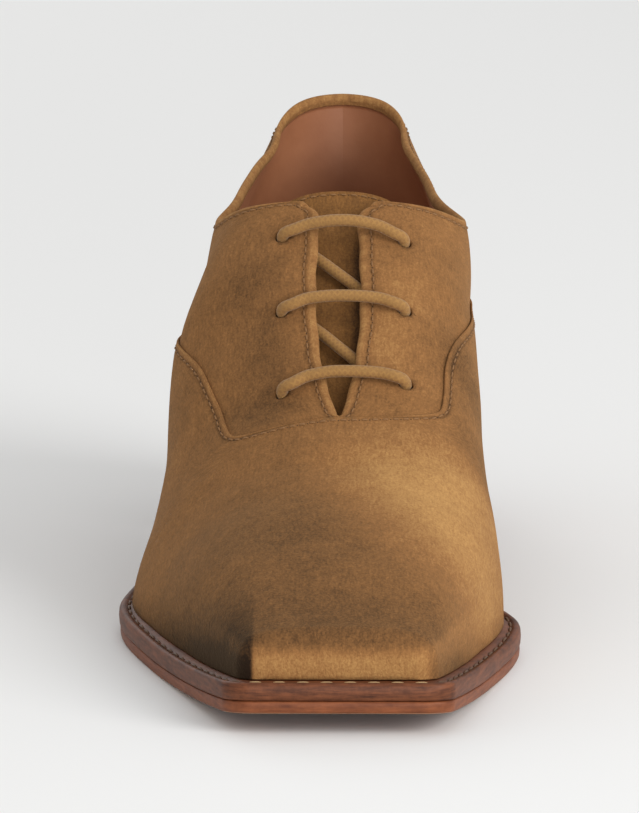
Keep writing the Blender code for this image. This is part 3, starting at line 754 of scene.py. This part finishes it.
def build_layers(name, levels, materials, marks=None):
    """A plate or block lofted through outlines. Each level is (outline, height function)."""
    net, rings = Net(), []
    for (outer, inner), height in levels:
        ring = np.concatenate([outer, inner[::-1]])
        rings.append(np.column_stack([ring, height(ring[:, 1])]))
    rings = np.array(rings)
    net.add(rings, wrap=True, mark=0 if marks is None else np.array(marks)[:, None])
    half = rings.shape[1] // 2
    for ring in (rings[0], rings[-1]):
        share = np.linspace(0, 1, 13)[None, :, None]
        net.add(ring[:half, None] * (1 - share) + ring[half:][::-1, None] * share,
                mark=1 if len(materials) > 1 and ring is rings[0] else 0)
    return net.build(name, materials)


def raised(height):
    """A height function: that far above the sole's underside."""
    return lambda y: underside(y) + height


def build_sole():
    """Outsole, welt and sock, each following the underside of the last.

    Each profile is a list of (inset, height). The outsole's edge is slightly round, and the
    welt's top has the groove that its stitches lie in.
    """
    profile = [(0.0030, 0.0), (0.0009, 0.0), (0.0005, 0.0002), (0.0003, 0.0006), (0.0002, 0.0014),
               (0.0002, 0.0022), (0.0003, 0.0026), (0.0006, OUTSOLE)]
    levels = [(outline(inset), raised(height)) for inset, height in profile]
    waxed_base = [1, 1] + [0] * (len(profile) - 3)
    outsole = build_layers("leather_outsole", levels, [sole_edge, sole_bottom], waxed_base)
    groove, floor = WELT_GROOVE, WELT - WELT_GROOVE_DEPTH
    profile = [(0.0030, -0.0002), (0.0005, -0.0002), (0.0002, 0.0), (0.0, 0.0004),
               (-0.0001, 0.0018), (0.0, WELT - 0.0009), (0.0002, WELT - 0.0004),
               (0.0006, WELT - 0.0001), (0.0010, WELT), (groove - 0.0007, WELT - 0.0001),
               (groove - 0.0003, floor + 0.0001), (groove, floor),
               (groove + 0.0003, floor + 0.0001), (groove + 0.0007, WELT), (0.0075, WELT)]
    levels = [(outline(inset), raised(OUTSOLE + GAP + height)) for inset, height in profile]
    welt = build_layers("stitched_welt", levels, [welt_leather])
    inside, low = -INNER_FACE + GAP + SOCK_ROOM, OUTSOLE + WELT + 2 * GAP
    profile = [(0.0010, 0.0), (0.0, 0.0004), (0.0, INSOLE - 0.0005), (0.0006, INSOLE)]
    levels = [(outline(inside + inset, True, 0.002), raised(low + height))
              for inset, height in profile]
    return outsole, welt, build_layers("sock_lining", levels, [lining])


def build_heel():
    """The stacked block, tapered through three insets by a parabola, and its rubber top piece."""
    def ring(inset):
        return outline(inset, breast=HEEL_BREAST + LEAN * (inset - SEAT_INSET))

    low, bow, levels = TOP_LIFT + GAP, BLOCK_INSET - (FOOT_INSET + SEAT_INSET) / 2, []
    for share in np.linspace(0, 1, 22):
        inset = FOOT_INSET * (1 - share) + SEAT_INSET * share + 4 * bow * share * (1 - share)
        levels.append((ring(inset), lambda y, s=share: low + (underside(y) - GAP - low) * s))
    heel = build_layers("stacked_heel", levels, [heel_leather])
    profile = [(EDGE_EASE, 0.0), (0.0001, 0.0002), (0.0, EDGE_EASE), (0.0, TOP_LIFT - 0.0004),
               (0.0003, TOP_LIFT)]
    levels = [(ring(FOOT_INSET + inset), lambda y, h=height: h + 0 * y)
              for inset, height in profile]
    return heel, build_layers("rubber_top_piece", levels, [top_rubber])


def build_tongue():
    """A suede plate that follows the form under the facings, with a rounded top and puckers.

    A row's points go from the ridge to a half width that is narrow at the hidden end and turns
    in by a quarter circle at the top. Puckers are waves along the tongue that fade sideways.
    Gives the points and normals of the edge that shows, over the top from side to side.
    """
    straight = TONGUE_END - TONGUE_ROUND
    y = np.concatenate([
        np.linspace(TONGUE_START, straight, 80),
        straight + TONGUE_ROUND * np.sin(np.radians(np.linspace(4, 86, 22)))])
    rows, columns = rows_of(side=y), 30
    under = ease((y - TONGUE_START) / TONGUE_DIP)
    rounding = np.clip((y - straight) / TONGUE_ROUND, 0, 1)
    half = TONGUE_HALF - TONGUE_CORNER * (1 - np.sqrt(1 - rounding**2))
    half *= NARROW + (1 - NARROW) * ease((y - TONGUE_START) / TONGUE_TAPER)
    along, across = y[:, None], np.linspace(0, 1, columns)[None]
    pucker = PUCKER * np.sin(along * PUCKER_WAVES) * (1 - across) * ease((along - 0.095) / 0.01)
    depth = (INNER_FACE - GAP - LOOSE - under * (2 * LACE_RADIUS + LACE_ROOM))[:, None]
    depth = depth - PUCKER + pucker
    below_bars = ease((FACING_TOP - along) / 0.004)
    reach = half[:, None] * across
    net, sides = Net(), {}
    for side in (-1, 1):
        skins = [arch(side, rows, offset, turn_at_reach(side, rows, offset, reach))
                 for offset in (depth, depth - TONGUE + PUCKER_ROOM)]
        flow = np.stack([side * reach, np.repeat(along, columns, 1)], -1)
        # Painted shade on the tongue along the inner facing's edge, below the bars
        shade = PAINTED_TONGUE_SHADE * bell(side * reach - 0.0046, 0.0016) * below_bars
        for points in skins:
            net.add(points, flow, shade=shade)
        sides[side] = (*skins, unit(skins[0] - skins[1]), flow)
    outer, inside, normals, flow = (
        np.concatenate([
            one[0, :0:-1], other[0][:-1], other[:-1, -1], other[-1][:0:-1], one[-1][:-1],
            one[::-1][:, -1][:-1]])
        for one, other in zip(sides[-1], sides[1]))
    outward = outward_of(outer, normals, True)
    outward *= np.sign(np.sum(outward * (outer - outer.mean(axis=0)), -1, keepdims=True).mean())
    bead(net, outer, inside, outward, 7, flow, closed=True)
    shown = 40
    top, top_normals = (
        np.concatenate([
            one[shown:, -1], one[-1][:0:-1], other[-1][:-1], other[:shown - 1:-1, -1]])
        for one, other in ((sides[-1][i], sides[1][i]) for i in (0, 2)))
    return net.build("tongue_panel", [suede_in_painted_shade], toned=True), (top, top_normals)


def skin(places):
    """Points of the quarters' outer face at places (y, x) near the ridge, and their normals."""
    def at(y, x):
        rows, middle = rows_of(side=y), section("middle", y)
        reach = np.abs(x - middle)[:, None]
        turns = [turn_at_reach(side, rows, -VAMP_STEP, reach) for side in (-1, 1)]
        sides = [arch(side, rows, -VAMP_STEP, turn)[:, 0] for side, turn in zip((-1, 1), turns)]
        return np.where((x < middle)[:, None], *sides)

    y, x = np.atleast_2d(places).T
    step = 0.0005
    along, across = at(y + step, x) - at(y - step, x), at(y, x + step) - at(y, x - step)
    return at(y, x), unit(np.cross(across, along))


def eyelet(level, side):
    """The place (y, x) of a lace hole."""
    y = LENGTH * HOLE_LEVELS[level]
    return y, float(section("middle", y)) + (INNER_HOLE if side > 0 else -OUTER_HOLE)


def bend(level, side, toward, start, end):
    """Lace points round a hole's edge: an arc of LACE_BEND in the plane of `toward`, in degrees."""
    points, normals = skin([eyelet(level, side)])
    point, normal = points[0], normals[0]
    toward = unit(toward - normal * np.dot(toward, normal))
    centre = point - normal * QUARTER_WALL / 2 + toward * LACE_BEND
    turns = np.radians(np.linspace(start, end, 5))[:, None]
    return centre + LACE_BEND * (normal * np.sin(turns) - toward * np.cos(turns))


def run(start, end, count, height, lift=0.0):
    """Lace points at `height` above the facings between two places, arched by `lift`."""
    share = np.linspace(0, 1, count + 2)[1:-1, None]
    points, normals = skin(np.array(start) * (1 - share) + np.array(end) * share)
    return points + normals * (height + lift * np.sin(math.pi * share))


def lace_path():
    """One lace: hidden up the outer facing, out at the lowest hole, then bar, crossing and bar."""
    outside, inside = LACE_BEND - QUARTER_WALL / 2, -LACE_BEND - QUARTER_WALL / 2
    inward, outward = np.array([1.0, 0, 0]), np.array([-1.0, 0, 0])
    up_facing = np.array([-0.75, 1.0, 0])
    y, x = eyelet(0, -1)
    top = eyelet(2, -1)
    parts = [run((top[0] - 0.004, x - 0.0065), (y + 0.005, x - 0.0045), 8, inside),
             bend(0, -1, up_facing, -90, 0)[:-1], bend(0, -1, inward, 0, 90)]
    for level in range(3):
        y, x = eyelet(level, -1)
        other = eyelet(level, 1)
        start, end = (y, x + LACE_BEND), (other[0], other[1] - LACE_BEND)
        parts.append(run(start, end, 7, outside, (0.0002, 0.0006, 0.0022)[level]))
        parts.append(bend(level, 1, outward, 90, -90 if level < 2 else -60))
        if level < 2:
            y, x = eyelet(level + 1, -1)
            parts.append(run(end, (y, x + LACE_BEND), 6, inside))
            parts.append(bend(level + 1, -1, inward, -90, 90))
    return np.concatenate(parts)


def smoothed(path, spacing):
    """The path at an even spacing, on natural splines through its points by their distance."""
    away = distances(path)
    at = np.linspace(0, away[-1], max(int(away[-1] / spacing), 2))
    evened = [spline(away, column, spline_bends(away, column), at) for column in path.T]
    return np.stack(evened, -1), at


def build_laces():
    """A round tube along the lace's path, its sides turned so that they don't twist."""
    path, at = smoothed(lace_path(), 0.0004)
    tangents = tangents_of(path)
    sides = [unit(np.cross(tangents[0], (0, 0, 1.0)))]
    for tangent in tangents[1:]:
        sides.append(unit(sides[-1] - tangent * np.dot(sides[-1], tangent)))
    sides = np.array(sides)
    ups = np.cross(tangents, sides)
    turns = np.linspace(0, 2 * math.pi, 17)[None, :, None]
    swell = np.ones(len(path))
    swell[[0, -1]] = 0.0
    swell[[1, -2]] = 0.7
    radius = (LACE_RADIUS * swell)[:, None, None]
    grid = path[:, None] + radius * (sides[:, None] * np.cos(turns) + ups[:, None] * np.sin(turns))
    net = Net()
    net.add(grid, np.stack(np.broadcast_arrays(turns[..., 0], at[:, None]), -1))
    return net.build("round_lace", [lace_cotton])


def stitches(net, path, normals, pitch, length, thread, sink=0.3, pits=None, mark=0):
    """Short threads along a path: each is a spindle that rises at its middle and dips at its ends.

    The radius and the rise fall off as powers of the way from the middle. `pits` is the radius of a
    flat dark spot between each pair, painted shade where the needle went through.
    """
    away, half = distances(path), length / 2
    count = int(away[-1] / pitch)

    def on(values, places):
        return np.stack([np.interp(places, away, column) for column in values.T], -1)

    def turned(places):
        """Middles, directions along the path, normals, and the third way across."""
        along = unit(on(path, places + half) - on(path, places - half))[:, None, None]
        up = unit(on(normals, places))[:, None, None]
        return on(path, places)[:, None, None], along, up, np.cross(along, up)

    share = np.linspace(-1, 1, 7)[None, :, None, None]
    turns = np.linspace(0, 2 * math.pi, 7)[None, None, :, None]
    radius = thread * (1 - share**6) ** 0.5
    rise = thread * (1.0 - 1.7 * share**4) - sink * thread
    middle, along, up, across = turned((np.arange(count) + 0.5) * away[-1] / count)
    grids = middle + along * share * half + up * (rise + radius * np.sin(turns))
    for grid in grids + across * radius * np.cos(turns):
        net.add(grid, mark=mark)
    if pits:
        # Flat dark spots between the stitches: painted shade where the needle went through
        middle, along, up, across = turned(np.arange(count + 1) * away[-1] / count)
        ring = np.linspace(0, math.pi, 4)[None, :, None, None]
        level = np.sin(ring) * (along * np.cos(turns) + across * np.sin(turns))
        for grid in middle + pits * (up * np.cos(ring) * 0.35 + level):
            net.add(grid, mark=1)


def beside(path, normals, distance, closed=False):
    """The path moved sideways in its surface."""
    return path + outward_of(path, normals, closed) * distance


def laid_on(obj, path):
    """The path evened out and laid on the piece: its nearest faces' points, and their normals.

    It is evened by three rounds of the mean of a point, counted twice, and its two neighbours.
    """
    evened = path.copy()
    for _ in range(3):
        evened[1:-1] = (evened[:-2] + 2 * evened[1:-1] + evened[2:]) / 4
    corners = [tuple(vertex.co) for vertex in obj.data.vertices]
    faces = BVHTree.FromPolygons(corners, [tuple(face.vertices) for face in obj.data.polygons])
    found = [faces.find_nearest(mathutils.Vector(point - MIDDLE)) for point in evened]
    return np.array([hit[0] for hit in found]) + MIDDLE, np.array([hit[1] for hit in found])


def punch_holes(obj, materials):
    """Six lace holes punched square through the facings, a little under their cut size.

    Each cutter is a closed cylinder: a profile of two ends and two radii turned about the normal.
    """
    net = Net()
    ends = np.array([-0.006, -0.006, 0.004, 0.004])[:, None, None]
    radius = HOLE_RADIUS * 0.86 * np.array([0, 1, 1, 0])[:, None, None]
    turns = np.linspace(0, 2 * math.pi, 25)[None, :, None]
    for level in range(3):
        for side in (-1, 1):
            (point,), (normal,) = skin([eyelet(level, side)])
            one = unit(np.cross(normal, (0, 1.0, 0)))
            other = np.cross(normal, one)
            net.add(point + normal * ends + radius * (one * np.cos(turns) + other * np.sin(turns)))
    cutter = net.build("hole_cutter", materials)
    cut = obj.modifiers.new("holes", "BOOLEAN")
    cut.object, cut.operation, cut.solver = cutter, "DIFFERENCE", "EXACT"
    graph = bpy.context.evaluated_depsgraph_get()
    mesh = bpy.data.meshes.new_from_object(obj.evaluated_get(graph))
    obj.modifiers.clear()
    obj.data = mesh
    bpy.data.objects.remove(cutter)


def build_seam_stitches(rows):
    """Rows of thread beside edges: each is a piece, its edge, the normals there and which way."""
    net = Net()
    for piece, path, normals, way in rows:
        path, normals = laid_on(piece, beside(path, normals, way * STITCH_INSET))
        stitches(net, path, normals, STITCH_PITCH, STITCH_LENGTH, THREAD, pits=NEEDLE_HOLE)
    return net.build("seam_stitches", [seam_thread, needle_hole_shade])


def build_welt_stitches():
    """The row in the welt's groove: light thread across the toe and inked thread at the sides."""
    net = Net()
    outer, inner = outline(WELT_GROOVE)
    ring = np.concatenate([outer[::-1], inner])
    floor = underside(ring[:, 1]) + OUTSOLE + GAP + WELT - WELT_GROOVE_DEPTH
    ring = np.column_stack([ring, floor])
    first, last = np.flatnonzero(ring[:, 1] < WELT_GROOVE + 0.0012)[[0, -1]]
    for part, mark in ((ring[:first + 1], 1), (ring[first:last + 1], 0), (ring[last:], 1)):
        stitches(net, part, np.broadcast_to((0, 0, 1.0), part.shape), WELT_STITCH_PITCH,
                 WELT_STITCH_LENGTH, WELT_THREAD, mark=mark)
    return net.build("welt_stitches", [welt_thread, inked_thread])


def srgb(code):
    """A colour written as sRGB hex, made linear."""
    parts = np.array([int(code[i:i + 2], 16) for i in (1, 3, 5)]) / 255
    return (*np.where(parts <= 0.04045, parts / 12.92, ((parts + 0.055) / 1.055) ** 2.4), 1)


def add(tree, kind, inputs=None, **settings):
    """Adds a node with its settings. Each input is a value, or a socket that it is linked from."""
    made = tree.nodes.new("ShaderNode" + kind)
    for name, value in settings.items():
        setattr(made, name, value)
    for name, value in (inputs or {}).items():
        if isinstance(value, bpy.types.NodeSocket):
            tree.links.new(value, made.inputs[name])
        else:
            made.inputs[name].default_value = value
    return made


def material(name, **shader):
    """A new material with its Principled shader's constants set, and its node tree."""
    made = bpy.data.materials.new(name)
    made.use_nodes = True
    bsdf = made.node_tree.nodes["Principled BSDF"]
    for key, value in shader.items():
        bsdf.inputs[key.replace("_", " ")].default_value = value
    return made, made.node_tree, bsdf


def per(millimetres):
    """A noise scale whose features are that many millimetres across."""
    return 1000 / millimetres


def dyed(tree, bsdf, pattern, stops):
    """Colours the surface: the pattern's values run through the stops (place, sRGB hex)."""
    made = add(tree, "ValToRGB", {"Fac": pattern})
    for i, (place, code) in enumerate([stops[0], stops[-1], *stops[1:-1]]):
        stop = made.color_ramp.elements[i] if i < 2 else made.color_ramp.elements.new(place)
        stop.position, stop.color = place, srgb(code)
    tree.links.new(made.outputs["Color"], bsdf.inputs["Base Color"])
    return made.outputs["Color"]


def grained(tree, bsdf, *layers):
    """Roughens the surface by layers (pattern, depth in metres, strength), each on the last."""
    below = {}
    for pattern, depth, strength in layers:
        laid = add(tree, "Bump", {"Height": pattern, "Distance": depth, "Strength": strength,
                                  **below})
        below = {"Normal": laid.outputs["Normal"]}
    tree.links.new(below["Normal"], bsdf.inputs["Normal"])


def suede_material(name, dark, middle, light):
    """Calf suede, sanded to a nap: matt, with brushed patches and short fibres that show.

    Its place on the colour ramp is a middle, plus the tone attribute, which holds the nap's tone
    and painted light and shade, and each pattern by its share.
    """
    made, tree, bsdf = material(
        name, Roughness=0.92, Specular_IOR_Level=0.15, Sheen_Weight=0.16, Sheen_Roughness=0.45,
        Sheen_Tint=srgb("#d8ae74"))
    place = add(tree, "TexCoord").outputs["Object"]
    flow = add(tree, "Attribute", attribute_name="flow").outputs["Vector"]
    # The tone attribute holds the nap's tone together with painted highlights and painted shade
    tone_with_painted_light = add(tree, "Attribute", attribute_name="tone").outputs["Fac"]
    # Fibres lie along the shoe and are drawn about three times coarser than real ones.
    along = add(tree, "Mapping", {"Vector": flow, "Scale": (1.0, 0.35, 1.0)}).outputs["Vector"]
    brushed, fibres, grain, mottle = (
        add(tree, "TexNoise", {"Vector": vector, "Scale": per(across), "Detail": detail,
                               "Roughness": roughness, "Distortion": distortion}).outputs["Fac"]
        for vector, across, detail, roughness, distortion in (
            (place, 14, 3.0, 0.6, 0.8), (along, 0.75, 3.0, 0.7, 0.5),
            (place, 0.55, 2.0, 0.7, 0.0), (place, 3.2, 2.0, 0.6, 0.0)))
    tone_share, ramp_middle = 0.30, 0.47
    total = add(tree, "Math", {0: tone_with_painted_light, 1: tone_share}, operation="MULTIPLY").outputs[0]
    for pattern, share in ((brushed, 0.18), (fibres, 0.34), (grain, 0.38), (mottle, 0.16)):
        centred = add(tree, "Math", {0: pattern, 1: 0.5}, operation="SUBTRACT").outputs[0]
        total = add(tree, "Math", {0: centred, 1: share, 2: total},
                    operation="MULTIPLY_ADD").outputs[0]
    total = add(tree, "Math", {0: total, 1: ramp_middle}, operation="ADD").outputs[0]
    dyed(tree, bsdf, total,
         [(0.0, "#24170d"), (0.24, dark), (0.52, middle), (0.82, light), (1.0, light)])
    grained(tree, bsdf, (fibres, 0.00016, 0.8), (grain, 0.00014, 0.9), (mottle, 0.00030, 0.6))
    return made


def smooth_leather(name, dark, light, across, roughness, coat):
    """Vegetable-tanned leather, waxed: low gloss, clouds `across` mm wide and faint pores."""
    made, tree, bsdf = material(
        name, Roughness=roughness, Specular_IOR_Level=0.5, Coat_Weight=coat, Coat_Roughness=0.3)
    place = add(tree, "TexCoord").outputs["Object"]
    cloud = add(tree, "TexNoise", {"Vector": place, "Scale": per(across), "Detail": 5.0,
                                   "Roughness": 0.6}).outputs["Fac"]
    pores = add(tree, "TexNoise", {"Vector": place, "Scale": per(0.7), "Detail": 2.0})
    dyed(tree, bsdf, cloud, [(0.32, dark), (0.68, light)])
    grained(tree, bsdf, (pores.outputs["Fac"], 0.00004, 0.7))
    return made


def edge_leather(name, dark, light, lift=None):
    """The cut edge of sole leather, inked and burnished: satin, with fine lines along it and rubs.

    `lift` is the height of a stacked heel's layers, whose joints show as dark lines.
    """
    made, tree, bsdf = material(
        name, Roughness=0.52, Specular_IOR_Level=0.22, Coat_Weight=0.05, Coat_Roughness=0.4)
    place = add(tree, "TexCoord").outputs["Object"]
    flat = add(tree, "Mapping", {"Vector": place, "Scale": (1.0, 1.0, 9.0)}).outputs["Vector"]
    lines = add(tree, "TexNoise", {"Vector": flat, "Scale": per(7), "Detail": 4.0,
                                   "Roughness": 0.65}).outputs["Fac"]
    rubs = add(tree, "TexNoise", {"Vector": place, "Scale": per(2.2), "Detail": 3.0,
                                  "Roughness": 0.7}).outputs["Fac"]
    mixed = add(tree, "Math", {0: rubs, 1: 0.45, 2: lines}, operation="MULTIPLY_ADD").outputs[0]
    color = dyed(tree, bsdf, mixed, [(0.48, dark), (0.96, light)])
    height = lines
    if lift:
        up = add(tree, "SeparateXYZ", {"Vector": place}).outputs["Z"]
        wave = add(tree, "Math", {0: up, 1: 2 * math.pi / lift}, operation="MULTIPLY").outputs[0]
        wave = add(tree, "Math", {0: wave}, operation="COSINE").outputs[0]
        joint = add(tree, "MapRange", {"Value": wave, "From Min": 0.90, "From Max": 1.0}).outputs[0]
        mix = add(tree, "Mix", {0: joint, 6: color, 7: srgb("#1b0d08")}, data_type="RGBA")
        tree.links.new(mix.outputs[2], bsdf.inputs["Base Color"])
        height = add(tree, "Math", {0: joint, 1: -2.0, 2: height},
                     operation="MULTIPLY_ADD").outputs[0]
    grained(tree, bsdf, (height, 0.00008, 0.6))
    return made


def plain(name, code, roughness):
    """A plain finish of one colour, with a faint grain."""
    made, tree, bsdf = material(name, Roughness=roughness, Base_Color=srgb(code))
    place = add(tree, "TexCoord").outputs["Object"]
    grain = add(tree, "TexNoise", {"Vector": place, "Scale": per(1.2), "Detail": 3.0})
    grained(tree, bsdf, (grain.outputs["Fac"], 0.00006, 0.5))
    return made


def lace_material():
    """Round waxed cotton lace, braided: two sets of spiral strands that cross as small diamonds."""
    made, tree, bsdf = material("braided cotton lace", Roughness=0.85, Specular_IOR_Level=0.25,
                                Sheen_Weight=0.12, Sheen_Roughness=0.5)
    flow = add(tree, "Attribute", attribute_name="flow").outputs["Vector"]
    around = add(tree, "SeparateXYZ", {"Vector": flow})
    strand_pitch, strands = 0.0013, []
    for turns in (5, -5):
        angle = add(tree, "Math", {0: around.outputs["X"], 1: turns}, operation="MULTIPLY")
        angle = add(tree, "Math", {0: around.outputs["Y"], 1: 2 * math.pi / strand_pitch,
                                   2: angle.outputs[0]}, operation="MULTIPLY_ADD")
        strands.append(add(tree, "Math", {0: angle.outputs[0]}, operation="SINE").outputs[0])
    braid = add(tree, "Math", {0: strands[0], 1: strands[1]}, operation="MAXIMUM").outputs[0]
    dyed(tree, bsdf, braid, [(0.0, "#8c663a"), (0.9, "#98713f")])
    grained(tree, bsdf, (braid, 0.00004, 0.5))
    return made


def build_stage():
    """A pale floor that runs far behind, lit softly all round, brighter from the front right."""
    mesh = bpy.data.meshes.new("floor")
    corners = [(x, y, 0) for x, y in ((-9, -9), (9, -9), (9, 9), (-9, 9))]
    mesh.from_pydata(corners, [], [(0, 1, 2, 3)])
    # Wood painted with matt paint: flat and pale, with hardly a reflection
    mesh.materials.append(material("painted floor", Roughness=0.9, Specular_IOR_Level=0.1,
                                   Base_Color=srgb("#ededec"))[0])
    linked("floor", mesh)
    world = bpy.data.worlds.new("studio")
    world.use_nodes = True
    background = world.node_tree.nodes["Background"]
    background.inputs["Color"].default_value = srgb("#f4f4f4")
    background.inputs["Strength"].default_value = 0.72
    bpy.context.scene.world = world
    for lamp in LAMPS:
        light = bpy.data.lights.new(lamp.name, "AREA")
        light.shape, light.size, light.energy = "DISK", lamp.size, lamp.power
        obj = linked(lamp.name, light)
        obj.location = lamp.place
        aim = mathutils.Vector(lamp.place) - mathutils.Vector(LAMP_AIM)
        obj.rotation_mode = "QUATERNION"
        obj.rotation_quaternion = aim.to_track_quat("Z", "Y")


def build_camera():
    """The photograph's own viewpoint, turned to the one shoe and with a longer lens."""
    data = bpy.data.cameras.new("camera")
    data.sensor_width, data.lens = SENSOR, CLOSER * PHOTO_FOCUS * SENSOR / PHOTO_SIZE[1]
    data.clip_start, data.clip_end = 0.05, 50.0
    camera = linked("camera", data)
    camera.location = CAMERA_PLACE
    level = mathutils.Euler((math.pi / 2 - CAMERA_TILT, 0, 0)).to_quaternion()
    ahead = level @ mathutils.Vector((0, 0, -1))
    across, up = SHOE_PIXEL[0] - PHOTO_SIZE[0] / 2, PHOTO_SIZE[1] / 2 - SHOE_PIXEL[1]
    toward = level @ mathutils.Vector((across, up, -PHOTO_FOCUS))
    camera.rotation_mode = "QUATERNION"
    camera.rotation_quaternion = ahead.rotation_difference(toward) @ level
    bpy.context.scene.camera = camera


# The startup scene's own cube, lamp and camera go.
for old in list(bpy.data.objects):
    if old.type in ("LIGHT", "CAMERA") or old.name == "Cube":
        bpy.data.objects.remove(old)

# The model's origin is the middle of the footprint, on the floor.
outer_edge, inner_edge = outline()
MIDDLE = np.array([(outer_edge[:, 0].min() + inner_edge[:, 0].max()) / 2, LENGTH / 2, 0.0])

# Calf suede, sanded to a nap: matt, mottled, darker where it is rubbed, and with painted highlights
# and painted shade in its tone. The tongue's is a copy a shade darker: painted shade, as it lies
# deep in the slit.
suede = suede_material("suede", "#5a3e24", "#8a6038", "#b58a54")
suede_in_painted_shade = suede_material("suede of the tongue in painted shade", "#4c331e", "#80582f", "#a87c48")
# Vegetable-tanned lining leather, smooth: satin and cloudy
lining = smooth_leather(
    "lining leather", "#8f5a3c", "#a8714f", across=30, roughness=0.48, coat=0.15)
# Sole leather, cut, inked and burnished: satin brown to red edges with lines along them
welt_leather = edge_leather("welt leather, inked", "#3c1d0e", "#784529")
sole_edge = edge_leather("sole leather edge, burnished", "#5c2f1a", "#8a4f2e")
heel_leather = edge_leather("stacked heel leather", "#45220f", "#6b3c22", lift=HEEL_LIFT)
# Sole leather, waxed: a smoother face with a low gloss
sole_bottom = smooth_leather(
    "sole leather, waxed", "#8a5a34", "#a87447", across=26, roughness=0.42, coat=0.2)
# Moulded rubber: dark and matt
top_rubber = plain("rubber", "#1d1917", 0.75)
# Waxed cotton, braided: a matt, fine diamond pattern
lace_cotton = lace_material()
# Spun polyester and waxed linen, twisted: fine lines lighter or darker than what they lie on
seam_thread = plain("polyester thread", "#7f5a33", 0.75)
# A flat dark spot: painted shade where the needle went through
needle_hole_shade = plain("needle hole in painted shade", "#432b17", 0.95)
welt_thread = plain("waxed linen thread", "#b4976c", 0.6)
inked_thread = plain("waxed linen thread, inked", "#5a3f2a", 0.6)

quarters, quarter_edges = build_quarters()
vamp, seam_edge = build_vamp()
outsole, welt, sock = build_sole()
heel, top_piece = build_heel()
tongue, tongue_edge = build_tongue()
laces = build_laces()
punch_holes(quarters, [suede])
seam_stitches = build_seam_stitches([
    (vamp, *seam_edge, 1), (tongue, *tongue_edge, 1),
    *((quarters, edges[0], edges[2], side) for side, edges in quarter_edges.items())])
welt_stitches = build_welt_stitches()

for obj, slot, nodes in (
        (quarters, "suede", ["upper"]), (vamp, "suede", ["upper"]), (tongue, "suede", ["tongue"]),
        (outsole, "sole_leather", ["outsole"]), (welt, "welt_leather", ["welt"]),
        (sock, "lining_leather", ["insole"]), (heel, "heel_leather", ["heel"]),
        (top_piece, "rubber", ["top_lift"]), (laces, "lace", ["laces"]),
        (seam_stitches, "suede", []), (welt_stitches, "lace", [])):
    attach(obj, BODY)
    if nodes:
        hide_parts(*nodes)

build_stage()
build_camera()
bpy.context.scene.view_settings.view_transform = "Standard"
